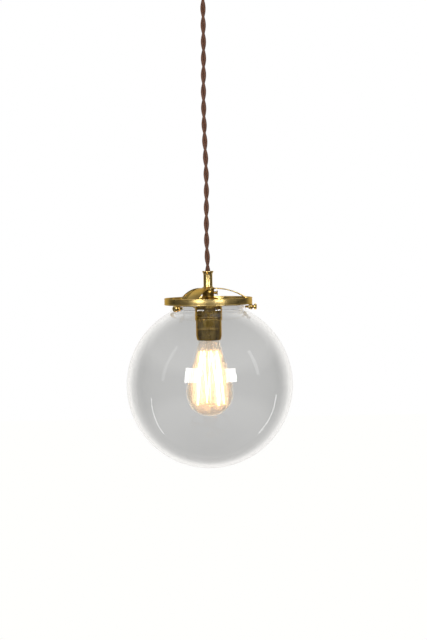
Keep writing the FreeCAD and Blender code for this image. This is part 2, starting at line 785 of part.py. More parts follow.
def make_screw_lug(place, bearing):
    """A tab below the ring with a threaded boss through it."""
    name = f"screw_lug_{place}"
    inner = s.ring_radius - s.ring_wall
    half = s.lug_width / 2
    turn = lying(bearing)
    start, thick = inner - OVERCUT, s.ring_wall + OVERCUT * 2
    x, y = at_bearing(bearing, start)
    foot = cylinder(f"{name}_foot", half, thick, x=x, y=y, z=GLOBE_SCREW_LEVEL, turn=turn)
    upright = block(f"{name}_upright", thick, s.lug_width, s.globe_screw_drop)
    direction = outward(bearing)
    across = Vector(-direction.y, direction.x, 0)
    put(upright, start * direction.x - half * across.x, start * direction.y - half * across.y,
        GLOBE_SCREW_LEVEL, Rotation(Vector(0, 0, 1), bearing - 90))
    outer_drum = cylinder(f"{name}_outer", s.ring_radius, s.ring_height * 2,
                          z=RING_FOOT - s.ring_height * 2)
    inner_drum = cylinder(f"{name}_inner", inner, s.ring_height * 3,
                          z=RING_FOOT - s.ring_height * 2.5)
    sleeve = cut(f"{name}_sleeve", outer_drum, inner_drum)
    tab = common(f"{name}_tab", fused(f"{name}_plate", [foot, upright]), sleeve)
    boss_length = s.lug_boss_in + s.ring_wall + s.lug_boss_out
    x, y = at_bearing(bearing, inner - s.lug_boss_in)
    boss = cylinder(f"{name}_boss", s.lug_boss_radius, boss_length, x=x, y=y,
                    z=GLOBE_SCREW_LEVEL, turn=turn)
    x, y = at_bearing(bearing, inner - s.lug_boss_in - OVERCUT)
    thread = cylinder(f"{name}_thread", s.globe_screw_radius + s.fit_gap,
                      boss_length + OVERCUT * 2, x=x, y=y, z=GLOBE_SCREW_LEVEL, turn=turn)
    finished(name, cut(f"{name}_tapped", fused(f"{name}_blank", [tab, boss]), thread))


def make_globe_screw(place, bearing):
    """Thumb screw whose tip sits under the glass lip."""
    name = f"globe_screw_{place}"
    tip = GLOBE_NECK + s.screw_tip_gap
    length, head = s.ring_radius + s.globe_screw_stand_off - tip, s.globe_screw_head_height
    body = turned(name, [
        (ZERO, ZERO),
        (s.globe_screw_radius, ZERO),
        (s.globe_screw_radius, length),
        (s.globe_screw_head_radius, length),
        (s.globe_screw_head_radius, length + head),
        (ZERO, length + head),
    ], upward=True)
    x, y = at_bearing(bearing, tip)
    finished(name, put(body, x, y, GLOBE_SCREW_LEVEL, lying(bearing)))


def make_gallery():
    make_cord_tube()
    make_hub_and_ring()
    for place, bearing in ARM_BEARINGS.items():
        make_arm(place, bearing)
    for place, bearing in GLOBE_SCREW_BEARINGS.items():
        make_screw_lug(place, bearing)
        make_globe_screw(place, bearing)


# ---------------------------------------------------------------- lampholder


def make_holder_cap():
    """Domed cap with a threaded neck, four windows and a tapped hole for the neck screw."""
    bore = s.thread_radius + s.fit_gap
    r, w = s.cap_radius, s.cap_wall
    dome = r - s.neck_radius
    spring = s.neck_length + dome  # where the dome turns into the straight side
    shell = turned("holder_cap_shell", [
        (bore, ZERO),
        (s.neck_radius, ZERO),
        (s.neck_radius, s.neck_length, (dome, 1)),
        (r, spring),
        (r, s.cap_height),
        (r - w, s.cap_height),
        (r - w, spring, (dome - w, -1)),
        (s.neck_radius, s.neck_length + w),
        (bore, s.neck_length + w),
    ])
    put(shell, z=NECK_LEVEL)
    tools = []
    top = NECK_LEVEL - s.window_drop
    start = r * 0.6
    step = 360 / WINDOW_COUNT
    for index in range(WINDOW_COUNT):
        bearing = s.window_bearing.number + step * index
        direction = outward(bearing)
        half = s.window_width / 2
        window = block(f"cap_window_{index + 1}", r, s.window_width, s.window_height)
        put(window, start * direction.x + half * direction.y,
            start * direction.y - half * direction.x, top - s.window_height,
            Rotation(Vector(0, 0, 1), bearing - 90))
        tools.append(window)
    tools.append(cylinder("neck_screw_thread", s.neck_screw_radius + s.fit_gap,
                          s.neck_radius * 2, z=NECK_LEVEL - s.neck_screw_drop,
                          turn=lying(NECK_SCREW_BEARING)))
    tools.append(cylinder("rivet_hole", s.rivet_radius + s.fit_gap, r * 1.5,
                          z=NECK_LEVEL - s.rivet_drop, turn=lying(RIVET_BEARING)))
    finished("holder_cap", cut("holder_cap_pierced", shell, fused("cap_openings", tools)))


def make_cap_rivet():
    """Small round-headed rivet through the cap between two windows."""
    inside = s.cap_wall + s.fit_gap
    head = s.rivet_head_height
    reach = s.rivet_head_radius
    body = turned("cap_rivet", [
        (ZERO, -(inside + s.rivet_tail)),
        (s.rivet_tail_radius, -(inside + s.rivet_tail)),
        (s.rivet_tail_radius, -inside),
        (s.rivet_radius, -inside),
        (s.rivet_radius, s.fit_gap),
        (reach, s.fit_gap, (cap_curve(reach, head), 1)),
        (ZERO, head + s.fit_gap),
    ], upward=True)
    x, y = at_bearing(RIVET_BEARING, s.cap_radius)
    finished("cap_rivet", put(body, x, y, NECK_LEVEL - s.rivet_drop, lying(RIVET_BEARING)))


def make_neck_screw():
    """Small waisted thumb screw that locks the lampholder on its spigot."""
    length, head = s.neck_screw_length, s.neck_screw_head_height
    waist = s.neck_screw_radius * 1.1
    body = turned("neck_screw", [
        (ZERO, ZERO),
        (s.neck_screw_radius, ZERO),
        (s.neck_screw_radius, length),
        (s.neck_screw_head_radius * 0.75, length),
        (waist, length + head * 0.4),
        (s.neck_screw_head_radius, length + head * 0.6),
        (s.neck_screw_head_radius, length + head),
        (ZERO, length + head),
    ], upward=True)
    x, y = at_bearing(NECK_SCREW_BEARING, s.thread_radius + s.fit_gap * 2)
    finished("neck_screw", put(body, x, y, NECK_LEVEL - s.neck_screw_drop,
                               lying(NECK_SCREW_BEARING)))


def make_porcelain_base():
    """Glazed porcelain that carries the terminals above and the contacts below."""
    r, height = s.cap_radius - s.cap_wall - s.porcelain_gap, s.porcelain_height
    hole = s.terminal_screw_radius + s.terminal_well_gap
    depth = s.terminal_well_depth
    body = turned("porcelain_disc", [
        (ZERO, ZERO),
        (r, ZERO),
        (r, height - s.porcelain_edge_rise),
        (r - s.porcelain_edge_in, height),
        (ZERO, height),
    ])
    put(body, z=PORCELAIN_LEVEL)
    wells = [
        cylinder(f"porcelain_well_{side}", hole, depth + OVERCUT, x=s.terminal_offset * hand,
                 z=PORCELAIN_LEVEL - depth)
        for side, hand in (("left", -1), ("right", 1))
    ]
    finished("porcelain_base", cut("porcelain_drilled", body, fused("porcelain_wells", wells)))


def make_terminals():
    """Two brass terminals on the porcelain, each with a screw down through it."""
    size, height = s.terminal_size, s.terminal_height
    head_radius, head = s.terminal_screw_head_radius, s.terminal_screw_head_height
    screws = []
    for name, hand in (("live_terminal", -1), ("neutral_terminal", 1)):
        x = s.terminal_offset * hand
        body = block(f"{name}_block", size, size, height, x=x - size / 2, y=-(size / 2),
                     z=PORCELAIN_LEVEL)
        hole = cylinder(f"{name}_hole", s.terminal_screw_radius + s.fit_gap, height * 3, x=x,
                        z=PORCELAIN_LEVEL - height)
        finished(name, cut(f"{name}_tapped", body, hole))
        tail = head + height + s.terminal_screw_tail
        screw = turned(f"{name}_screw", [
            (ZERO, ZERO),
            (head_radius, ZERO),
            (head_radius, head),
            (s.terminal_screw_radius, head),
            (s.terminal_screw_radius, tail),
            (ZERO, tail),
        ])
        screws.append(put(screw, x=x, z=PORCELAIN_LEVEL + height + head))
    finished("terminal_screws", group("terminal_screw_pair", screws))


def make_leads():
    """The flex's cores, down the tube's bore and out to the terminals."""
    radius = s.core_radius.number
    start = (TUBE_LEVEL - s.cord_insert - s.bend_gap).number
    entry = (PORCELAIN_LEVEL + s.terminal_height / 2).number
    face = (s.terminal_offset - s.terminal_size / 2).number
    for name, hand in (("live_lead", -1), ("neutral_lead", 1)):
        near = s.core_offset.number * hand
        points = [
            Vector(near, 0, start),
            Vector(near, 0, entry),
            Vector(face * hand, 0, entry),
        ]
        finished(name, plain_feature(name, wire_along(points, radius)))


def make_contacts():
    """Sprung centre contact and the threaded shell under the porcelain."""
    r, w = CONTACT_RADIUS, s.contact_wall
    flange = r - s.contact_flange
    shell = turned("contact_shell", [
        (flange, ZERO),
        (r, ZERO),
        (r, s.contact_height),
        (r - w, s.contact_height),
        (r - w, w),
        (flange, w),
    ])
    finished("contact_shell", put(shell, z=PORCELAIN_FOOT))
    body = new_body("centre_contact")
    side = new_sketch(body, "centre_contact_side", "XZ_Plane", DOWNWARD)
    half, tip = flange - s.contact_clearance, s.bulb_contact_radius * 0.6
    foot = s.bulb_cap_drop - s.bulb_insulator_height - s.bulb_contact_height - s.bend_gap
    draw(side, [
        (-half, ZERO),
        (half, ZERO),
        (half, w),
        (half - s.contact_foot, w),
        (tip, foot),
        (-tip, foot),
        (-tip, foot - w),
        (tip - w, foot - w),
        (half - s.contact_foot - OVERCUT, w),
        (-half, w),
    ])
    padded(body, side, "centre_contact_strip", s.terminal_size)
    finished("centre_contact", put(body, z=PORCELAIN_FOOT))


def make_holder_shell():
    """Plain shell that slips into the cap, turned in at its foot, with a fibre liner."""
    outer = s.cap_radius - s.cap_wall - s.fit_gap
    w, height = s.shell_wall, s.shell_height
    spring = height - s.shell_taper_height
    mouth = s.bulb_cap_radius + s.shell_mouth_gap + w
    curve = cap_curve(s.shell_taper_height, outer - mouth)
    shell = turned("holder_shell", [
        (outer - w, ZERO),
        (outer, ZERO),
        (outer, spring, (curve, 1)),
        (mouth, height),
        (mouth - w, height),
        (mouth - w, height - w),
        (outer - w, spring),
    ])
    finished("holder_shell", put(shell, z=SHELL_LEVEL))
    liner_outer = outer - w - s.liner_gap
    drop = s.shell_overlap / 2
    length = spring - drop
    liner = turned("insulating_liner",
                   tube_outline(liner_outer - s.liner_wall, liner_outer, length))
    finished("insulating_liner", put(liner, z=PORCELAIN_FOOT - s.liner_gap))


def make_lampholder():
    make_holder_cap()
    make_cap_rivet()
    make_neck_screw()
    seat = s.neck_length + s.cap_wall + s.fit_gap * 3
    make_lock_nut("holder_locknut", NECK_LEVEL - seat - s.nut_height)
    make_porcelain_base()
    make_terminals()
    make_leads()
    make_contacts()
    make_holder_shell()


# ---------------------------------------------------------------- bulb


def make_bulb_cap():
    """Edison screw cap, its black glass insulator and the solder contact."""
    top = BULB_CAP_LEVEL + s.bulb_insulator_height
    tip = turned("bulb_contact", [
        (ZERO, ZERO),
        (s.bulb_contact_radius * 0.6, ZERO),
        (s.bulb_contact_radius, s.bulb_contact_height * 0.6),
        (s.bulb_contact_radius, s.bulb_contact_height),
        (ZERO, s.bulb_contact_height),
    ])
    finished("bulb_contact", put(tip, z=top + s.bulb_contact_height))
    rim = s.bulb_cap_radius - s.bulb_cap_chamfer
    insulator = turned("bulb_insulator", [
        (ZERO, ZERO),
        (s.bulb_contact_radius, ZERO),
        (rim, s.bulb_insulator_height),
        (ZERO, s.bulb_insulator_height),
    ])
    finished("bulb_insulator", put(insulator, z=top))
    r, w, height = s.bulb_cap_radius, s.bulb_cap_wall, s.bulb_cap_height
    shell = turned("bulb_cap", [
        (ZERO, ZERO),
        (rim, ZERO),
        (r, s.bulb_cap_chamfer),
        (r, height),
        (r - w, height),
        (r - w, s.bulb_cap_floor),
        (ZERO, s.bulb_cap_floor),
    ])
    finished("bulb_cap", put(shell, z=BULB_CAP_LEVEL))


def envelope_points(offset):
    """Throat, widest place and tip of one face of the bulb's glass, offset in from the
    outside."""
    r = s.bulb_radius - offset
    insert = s.bulb_neck_insert
    throat = (s.bulb_throat_radius - offset, insert + s.bulb_throat_drop)
    widest = (r, insert + s.bulb_widest_drop)
    tip = (ZERO, insert + s.bulb_length - offset)
    return throat, widest, tip


def make_bulb_glass():
    """Drop-shaped envelope, blown thin."""
    w = s.bulb_wall
    insert = s.bulb_neck_insert
    throat, widest, tip = envelope_points(ZERO)
    inner_throat, inner_widest, inner_tip = envelope_points(w)
    rise = s.bulb_length - s.bulb_widest_drop
    end_curve = cap_curve(s.bulb_radius, rise)
    inner_end_curve = cap_curve(s.bulb_radius - w, rise - w)
    body = turned("bulb_glass", [
        (BULB_NECK - w, ZERO),
        (BULB_NECK, ZERO),
        (BULB_NECK, insert),
        (*throat, (s.bulb_cone_curve, 1)),
        (*widest, (end_curve, 1)),
        tip,
        (*inner_tip, (inner_end_curve, -1)),
        (*inner_widest, (s.bulb_cone_curve - w, -1)),
        inner_throat,
        (BULB_NECK - w, insert),
    ])
    finished("bulb_glass", put(body, z=BULB_LEVEL + insert))


def make_bulb_stem():
    """Flared glass foot and the rod that carries the filament's hooks."""
    r, rod = s.stem_radius, s.rod_radius
    height = s.stem_height
    foot = s.rod_foot_drop + s.rod_bead * 2
    body = turned("bulb_stem", [
        (ZERO, ZERO),
        (r, ZERO),
        (r * 0.55, height * 0.45),
        (r * PRESS_RADIUS_SHARE, height * PRESS_SHARE),
        (rod, height),
        (rod, foot),
        (rod + s.rod_bead, foot + s.rod_bead),
        (ZERO, foot + s.rod_bead * 3),
    ])
    finished("bulb_stem", put(body, z=BULB_LEVEL + s.bulb_neck_insert))


def hook(index, upper):
    """Where the filament turns at a hook of the cage: upper and lower hooks alternate."""
    radius = (s.cage_top_radius if upper else s.cage_foot_radius).number
    drop = (s.cage_top_drop if upper else s.cage_foot_drop).number
    angle = math.pi * (index + 0.5) / CAGE_LOOPS
    return Vector(radius * math.sin(angle), -radius * math.cos(angle), BULB_LEVEL.number - drop)


def make_filament():
    """Squirrel-cage filament: one wire up and down between two rings of hooks."""
    turns = [hook(index, upper=index % 2 == 0) for index in range(2 * CAGE_LOOPS - 1)]
    wire = wire_along(turns, s.filament_radius.number, corners=2)
    finished("filament", plain_feature("filament", wire))
    arms = []
    for index in range(1, 2 * CAGE_LOOPS - 2):
        end = hook(index, upper=index % 2 == 0)
        inward = Vector(end.x, end.y, 0).normalize()
        gap = (s.filament_radius + s.support_gap).number
        start = Vector(0, 0, end.z) + inward * (s.rod_radius + s.fit_gap).number
        arms.append(Part.makeCylinder(s.support_radius.number,
                                      (end - start).Length - gap, start, inward))
    finished("filament_supports", plain_feature("filament_supports", Part.Compound(arms)))
    leads = []
    press = BULB_LEVEL.number + s.bulb_neck_insert.number - PRESS_SHARE * s.stem_height.number
    for end in (turns[0], turns[-1]):
        side = 1 if end.x > 0 else -1
        reach = (s.stem_radius * PRESS_RADIUS_SHARE + s.press_gap).number
        foot = Vector(reach * side, 0, press)
        out = (end - foot).normalize()
        stop = end - out * (s.filament_radius + s.support_radius).number
        leads.append(Part.makeCylinder(s.support_radius.number, (stop - foot).Length, foot, out))
    finished("bulb_lead_wires", plain_feature("bulb_lead_wires", Part.Compound(leads)))


def make_bulb():
    make_bulb_cap()
    make_bulb_glass()
    make_bulb_stem()
    make_filament()


# ---------------------------------------------------------------- globe


def make_glass_globe():
    """Clear blown globe with a lipped neck that stands inside the gallery ring."""
    R, w, neck = s.globe_radius, s.globe_wall, GLOBE_NECK
    shoulder = s.neck_straight
    centre = shoulder + (R * R - neck * neck).root()
    inner_R, inner_neck = R - w, neck - w
    inner_shoulder = centre - (inner_R * inner_R - inner_neck * inner_neck).root()
    body = turned("glass_globe", [
        (inner_neck, ZERO),
        (LIP_RADIUS, ZERO),
        (LIP_RADIUS, s.lip_height),
        (neck, s.lip_height + s.lip_slope),
        (neck, shoulder, (R, 1)),
        (ZERO, centre + R),
        (ZERO, centre + inner_R, (inner_R, -1)),
        (inner_neck, inner_shoulder),
    ])
    finished("glass_globe", put(body, z=LIP_LEVEL))


# ---------------------------------------------------------------- build, check and write


def check_and_export():
    doc.recompute()
    for thing in doc.Objects:
        bad = {"Invalid", "Error"} & set(thing.State)
        if bad:
            raise RuntimeError(f"{thing.Name} ({thing.Label}) is {bad}")
    os.makedirs("parts", exist_ok=True)
    for name, thing in made.items():
        shape = thing.Shape
        if shape.isNull() or not shape.isValid() or not shape.Solids:
            raise RuntimeError(f"{name} has no sound solid")
    for name, thing in made.items():
        thing.Shape.exportStep(f"parts/{name}.step")
        box = thing.Shape.BoundBox
        print(f"{name:24} {len(thing.Shape.Solids)} solid(s) {thing.Shape.Volume:12.1f} mm3 "
              f"z {box.ZMin:8.2f} to {box.ZMax:8.2f}")
    print(len(made), "nodes")


make_ceiling_end()
make_cord()
make_gallery()
make_lampholder()
make_bulb()
make_glass_globe()
check_and_export()
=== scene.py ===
"""Pendant ceiling light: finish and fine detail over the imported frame.

Metres, +Z up. The lamp hangs on the Z axis below the ceiling at Z = 0, and -Y is the front.
A bearing is a direction round the axis, from the front towards the right, in degrees.
"""

import math

import bpy
from mathutils import Matrix, Vector


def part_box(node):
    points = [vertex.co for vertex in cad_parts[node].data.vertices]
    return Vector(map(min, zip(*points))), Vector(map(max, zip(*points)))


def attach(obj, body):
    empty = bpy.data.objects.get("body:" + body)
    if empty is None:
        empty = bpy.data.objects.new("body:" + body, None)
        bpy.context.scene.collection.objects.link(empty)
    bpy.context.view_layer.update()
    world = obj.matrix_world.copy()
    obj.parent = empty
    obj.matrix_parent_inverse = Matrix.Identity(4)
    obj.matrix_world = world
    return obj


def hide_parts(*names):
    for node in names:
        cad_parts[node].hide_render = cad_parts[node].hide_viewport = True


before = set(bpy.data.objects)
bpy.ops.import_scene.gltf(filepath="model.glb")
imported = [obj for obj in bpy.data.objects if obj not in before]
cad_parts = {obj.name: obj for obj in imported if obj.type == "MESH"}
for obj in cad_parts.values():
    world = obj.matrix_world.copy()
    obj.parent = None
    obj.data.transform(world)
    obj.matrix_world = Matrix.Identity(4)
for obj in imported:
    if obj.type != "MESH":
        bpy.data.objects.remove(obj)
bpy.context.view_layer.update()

MM = 0.001
UP = Vector((0, 0, 1))


def low(node):
    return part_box(node)[0]


def high(node):
    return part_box(node)[1]


# ---------------------------------------------------------------- workbench


def put_in_scene(name, data):
    """A new object for data made in code."""
    piece = bpy.data.objects.new(name, data)
    bpy.context.scene.collection.objects.link(piece)
    return piece


def put_down():
    """Back to object mode with nothing selected."""
    if bpy.context.mode != "OBJECT":
        bpy.ops.object.mode_set(mode="OBJECT")
    bpy.ops.object.select_all(action="DESELECT")


def take_up(piece):
    put_down()
    piece.select_set(True)
    bpy.context.view_layer.objects.active = piece


def settle(piece):
    """Puts a piece's place, turn and scale into its mesh."""
    take_up(piece)
    bpy.ops.object.transform_apply(location=True, rotation=True, scale=True)


def tidy_mesh(piece):
    """Merges doubles and points every face outward."""
    take_up(piece)
    bpy.ops.object.mode_set(mode="EDIT")
    bpy.ops.mesh.select_all(action="SELECT")
    bpy.ops.mesh.remove_doubles(threshold=0.002 * MM)
    bpy.ops.mesh.normals_make_consistent(inside=False)
    bpy.ops.object.mode_set(mode="OBJECT")


def apply_modifier(piece, kind, **settings):
    take_up(piece)
    modifier = piece.modifiers.new(kind.title(), kind)
    for setting, value in settings.items():
        setattr(modifier, setting, value)
    bpy.ops.object.modifier_apply(modifier=modifier.name)


def soften(piece, width, segments=2, angle=35):
    """Rounds the sharp edges of a piece and shades it smooth between them."""
    if width:
        apply_modifier(piece, "BEVEL", width=width, segments=segments,
                       limit_method="ANGLE", angle_limit=math.radians(angle))
    take_up(piece)
    bpy.ops.object.shade_smooth_by_angle(angle=math.radians(angle))


def pick_faces(piece, wanted):
    """In edit mode, selects the faces whose middle and normal pass the test."""
    take_up(piece)
    bpy.context.tool_settings.mesh_select_mode = (False, False, True)
    bpy.ops.object.mode_set(mode="EDIT")
    bpy.ops.mesh.select_all(action="DESELECT")
    bpy.ops.object.mode_set(mode="OBJECT")
    for face in piece.data.polygons:
        face.select = wanted(face.center, face.normal)
    bpy.ops.object.mode_set(mode="EDIT")


def pick_points(piece, wanted):
    """In edit mode, selects the points whose place passes the test."""
    take_up(piece)
    bpy.context.tool_settings.mesh_select_mode = (True, False, False)
    bpy.ops.object.mode_set(mode="EDIT")
    bpy.ops.mesh.select_all(action="DESELECT")
    bpy.ops.object.mode_set(mode="OBJECT")
    for point in piece.data.vertices:
        point.select = wanted(point.co)
    bpy.ops.object.mode_set(mode="EDIT")


def draw_out(rings):
    """Extrudes the selected ring of points or disc through each (radius, height) in turn."""
    for (radius, height), (next_radius, next_height) in zip(rings, rings[1:]):
        bpy.ops.mesh.extrude_region_move(
            TRANSFORM_OT_translate={"value": (0, 0, next_height - height)})
        share = next_radius / radius
        bpy.ops.transform.resize(value=(share, share, 1), center_override=(0, 0, next_height))


def start_ring(name, ring, sides, fill):
    put_down()
    bpy.ops.mesh.primitive_circle_add(vertices=sides, radius=ring[0], fill_type=fill,
                                      location=(0, 0, ring[1]))
    piece = bpy.context.object
    piece.name = name
    settle(piece)
    bpy.context.tool_settings.mesh_select_mode = (True, False, False)
    bpy.ops.object.mode_set(mode="EDIT")
    bpy.ops.mesh.select_all(action="SELECT")
    return piece


def turned(name, rings, sides=64):
    """A solid turned piece, drawn out from its first disc to its last."""
    piece = start_ring(name, rings[0], sides, "TRIFAN")
    draw_out(rings)
    tidy_mesh(piece)
    soften(piece, 0)
    return piece


def spun(name, rings, sides=96):
    """A turned wall: the rings go once round its section and close on the first."""
    piece = start_ring(name, rings[0], sides, "NOTHING")
    draw_out([*rings, rings[0]])
    tidy_mesh(piece)
    soften(piece, 0)
    return piece


def arc(radius, height, reach, start, end, steps=8):
    """(radius, height) points round a centre, from one angle to another; 0 is outward, 90 up."""
    angles = (math.radians(start + (end - start) * k / steps) for k in range(steps + 1))
    return [(radius + reach * math.cos(a), height + reach * math.sin(a)) for a in angles]


def threaded(piece, foot, head, pitch, depth, least_radius):
    """Waves the outside of a turned piece into a screw thread."""
    for point in piece.data.vertices:
        radius = math.hypot(point.co.x, point.co.y)
        if foot < point.co.z < head and radius > least_radius:
            turn = math.atan2(point.co.y, point.co.x)
            wave = math.cos(2 * math.pi * point.co.z / pitch - turn)
            share = (radius + depth * (wave - 1) / 2) / radius
            point.co.x *= share
            point.co.y *= share


def steps_between(radius, start, end, step):
    """Rings of one radius, close enough together to carry a thread."""
    count = max(1, round(abs(end - start) / step))
    return [(radius, start + (end - start) * k / count) for k in range(count + 1)]


def toward(bearing):
    angle = math.radians(bearing)
    return Vector((math.sin(angle), -math.cos(angle), 0))


def lay_out(piece, bearing, radius, height):
    """Lays an upright piece level, pointing outward along a bearing from a radius."""
    direction = toward(bearing)
    piece.rotation_mode = "QUATERNION"
    piece.rotation_quaternion = UP.rotation_difference(direction)
    piece.location = direction * radius + Vector((0, 0, height))
    settle(piece)


def swing_to(piece, bearing):
    """Turns a piece made along +X round the axis to a bearing."""
    piece.rotation_euler.z = math.radians(bearing - 90)
    settle(piece)


def cut_away(piece, tool):
    """Takes the tool's shape out of the piece."""
    apply_modifier(piece, "BOOLEAN", operation="DIFFERENCE", solver="EXACT", object=tool)
    bpy.data.objects.remove(tool)


def cutter(size, place, bearing=90):
    """A box to cut with, its length along a bearing."""
    put_down()
    bpy.ops.mesh.primitive_cube_add(size=1, location=place,
                                    rotation=(0, 0, math.radians(bearing - 90)))
    tool = bpy.context.object
    tool.scale = size
    settle(tool)
    return tool


GRIP_SIDES = 48  # sides of a turned head that gets grips


def notched(piece, foot, head, raise_by):
    """Grips round a turned head: every second face of its side is set proud."""
    step = 2 * math.pi / GRIP_SIDES

    def wanted(middle, normal):
        place = math.floor(math.atan2(middle.y, middle.x) / step)
        return foot < middle.z < head and abs(normal.z) < 0.3 and place % 2 == 0

    pick_faces(piece, wanted)
    bpy.ops.mesh.inset(thickness=0.04 * MM, depth=raise_by, use_individual=True)
    bpy.ops.object.mode_set(mode="OBJECT")


def smooth_line(name, runs, fineness):
    """A curve with one NURBS spline through each run of given points."""
    line = bpy.data.curves.new(name, "CURVE")
    line.dimensions = "3D"
    line.resolution_u = fineness
    for run in runs:
        spline = line.splines.new("NURBS")
        spline.points.add(len(run) - 1)
        for point, place in zip(spline.points, run):
            point.co = (*place, 1)
        spline.order_u = 3
        spline.use_endpoint_u = True
    return line


def wires(name, runs, radius):
    """Round wires along given points, made into one mesh."""
    line = smooth_line(name, runs, 6)
    line.bevel_depth = radius
    line.bevel_resolution = 2
    line.use_fill_caps = True
    take_up(put_in_scene(name, line))
    bpy.ops.object.convert(target="MESH")
    piece = bpy.context.object
    tidy_mesh(piece)
    soften(piece, 0, angle=60)
    return piece


# ---------------------------------------------------------------- finishes


class Finish:
    """A Principled finish with its plain values on its own sockets, and grain laid over them."""

    def __init__(self, name, colour, **values):
        self.material = bpy.data.materials.new(name)
        self.material.use_nodes = True
        self.tree = self.material.node_tree
        self.shader = self.tree.nodes["Principled BSDF"]
        self.shader.inputs["Base Color"].default_value = (*colour, 1)
        for socket, value in values.items():
            self.shader.inputs[socket.replace("_", " ")].default_value = value
        self.height = None

    def add(self, kind, **inputs):
        node = self.tree.nodes.new(f"ShaderNode{kind}")
        for socket, value in inputs.items():
            self.feed(node.inputs[socket.replace("_", " ")], value)
        return node

    def feed(self, socket, value):
        if isinstance(value, bpy.types.NodeSocket):
            self.tree.links.new(value, socket)
        else:
            socket.default_value = value

    def place(self, stretch=(1, 1, 1), kind="Object"):
        """Coordinates, stretched so that a pattern runs along or round the piece."""
        source = self.add("TexCoord").outputs[kind]
        return self.add("Mapping", Vector=source, Scale=stretch).outputs["Vector"]

    def noise(self, scale, stretch=(1, 1, 1), detail=4.0, roughness=0.55):
        node = self.add("TexNoise", Vector=self.place(stretch), Scale=scale, Detail=detail,
                        Roughness=roughness)
        return node.outputs["Fac"]

    def colours(self, source, *stops):
        """Base colour from a pattern: each stop is (position, colour)."""
        ramp = self.add("ValToRGB", Fac=source)
        elements = ramp.color_ramp.elements
        while len(elements) < len(stops):
            elements.new(0.5)
        for element, (position, colour) in zip(elements, stops):
            element.position = position
            element.color = (*colour, 1)
        self.feed(self.shader.inputs["Base Color"], ramp.outputs["Color"])

    def spread(self, source, lowest, highest, socket="Roughness"):
        node = self.add("MapRange", Value=source, From_Min=0.3, From_Max=0.7, To_Min=lowest,
                        To_Max=highest)
        self.feed(self.shader.inputs[socket], node.outputs["Result"])

    def bumps(self, source, depth, strength=1.0):
        """Relief of a real depth in metres; a second call lies on the first."""
        node = self.add("Bump", Height=source, Distance=depth, Strength=strength)
        if self.height:
            self.feed(node.inputs["Normal"], self.height)
        self.height = node.outputs["Normal"]
        self.feed(self.shader.inputs["Normal"], self.height)


def polished_brass():
    brass = Finish("polished brass", (0.74, 0.52, 0.20), Metallic=1.0, Roughness=0.16)
    brass.colours(brass.noise(45, detail=6.0), (0.35, (0.48, 0.34, 0.12)),
                  (0.55, (0.60, 0.44, 0.17)), (0.75, (0.68, 0.52, 0.23)))
    brass.spread(brass.noise(140, (1, 1, 3), detail=5.0), 0.26, 0.33)
    brass.shader.inputs["Specular Tint"].default_value = (0.72, 0.55, 0.30, 1)
    brass.bumps(brass.noise(500, (1, 1, 9), detail=2.0), 0.004 * MM, 0.4)
    return brass.material


def aged_brass():
    brass = Finish("aged brass", (0.26, 0.17, 0.07), Metallic=1.0, Roughness=0.38)
    brass.colours(brass.noise(170, (1, 1, 0.3), detail=8.0, roughness=0.65),
                  (0.34, (0.24, 0.145, 0.034)), (0.5, (0.47, 0.31, 0.075)),
                  (0.62, (0.62, 0.43, 0.12)), (0.74, (0.82, 0.62, 0.26)))
    brass.shader.inputs["Specular Tint"].default_value = (0.75, 0.52, 0.22, 1)
    brass.spread(brass.noise(220, detail=6.0), 0.24, 0.44)
    brass.bumps(brass.noise(700, (1, 1, 0.5), detail=4.0), 0.03 * MM, 0.6)
    return brass.material


def zinc_plate():
    zinc = Finish("zinc plate", (0.55, 0.56, 0.58), Metallic=1.0, Roughness=0.34)
    zinc.colours(zinc.noise(90, detail=6.0), (0.35, (0.42, 0.43, 0.46)),
                 (0.6, (0.60, 0.61, 0.62)), (0.75, (0.68, 0.67, 0.62)))
    zinc.spread(zinc.noise(260, detail=5.0), 0.26, 0.46)
    zinc.bumps(zinc.noise(900, (0.2, 1, 1), detail=3.0), 0.01 * MM, 0.6)
    return zinc.material


def braided_rayon():
    """A fine diagonal plait, laid along each strand by its own map: across is v, along is u."""
    braid = Finish("braided rayon", (0.060, 0.021, 0.010), Roughness=0.62, Sheen_Weight=0.04,
                   Sheen_Roughness=0.4)
    separate = braid.add("SeparateXYZ", Vector=braid.add("TexCoord").outputs["UV"])
    threads_round, threads_along = 10, 2200

    def worked(operation, *values):
        node = braid.add("Math")
        node.operation = operation
        for socket, value in zip(node.inputs, values):
            braid.feed(socket, value)
        return node.outputs[0]

    waves = []
    for lean in (1, -1):
        across = worked("MULTIPLY", separate.outputs["Y"], 2 * math.pi * threads_round * lean)
        along = worked("MULTIPLY_ADD", separate.outputs["X"], math.pi * threads_along, across)
        waves.append(worked("SINE", along))
    plait = worked("MULTIPLY_ADD", *waves, 0.5)
    # The thread's brown follows the plait's height: painted shade in the grooves between the
    # threads and painted light on their crests.
    braid.colours(plait, (0.05, (0.030, 0.009, 0.004)), (0.5, (0.082, 0.026, 0.010)),
                  (0.95, (0.16, 0.062, 0.026)))
    braid.bumps(plait, 0.12 * MM, 0.9)
    return braid.material


def insulation(name, colour):
    """Soft extruded plastic with a faint waviness."""
    skin = Finish(name, colour, Roughness=0.42, Specular_IOR_Level=0.45)
    darker = tuple(0.72 * c for c in colour)
    skin.colours(skin.noise(120, detail=3.0), (0.35, darker), (0.65, colour))
    skin.spread(skin.noise(400, detail=3.0), 0.34, 0.52)
    skin.bumps(skin.noise(500, detail=2.0), 0.02 * MM, 0.4)
    return skin.material


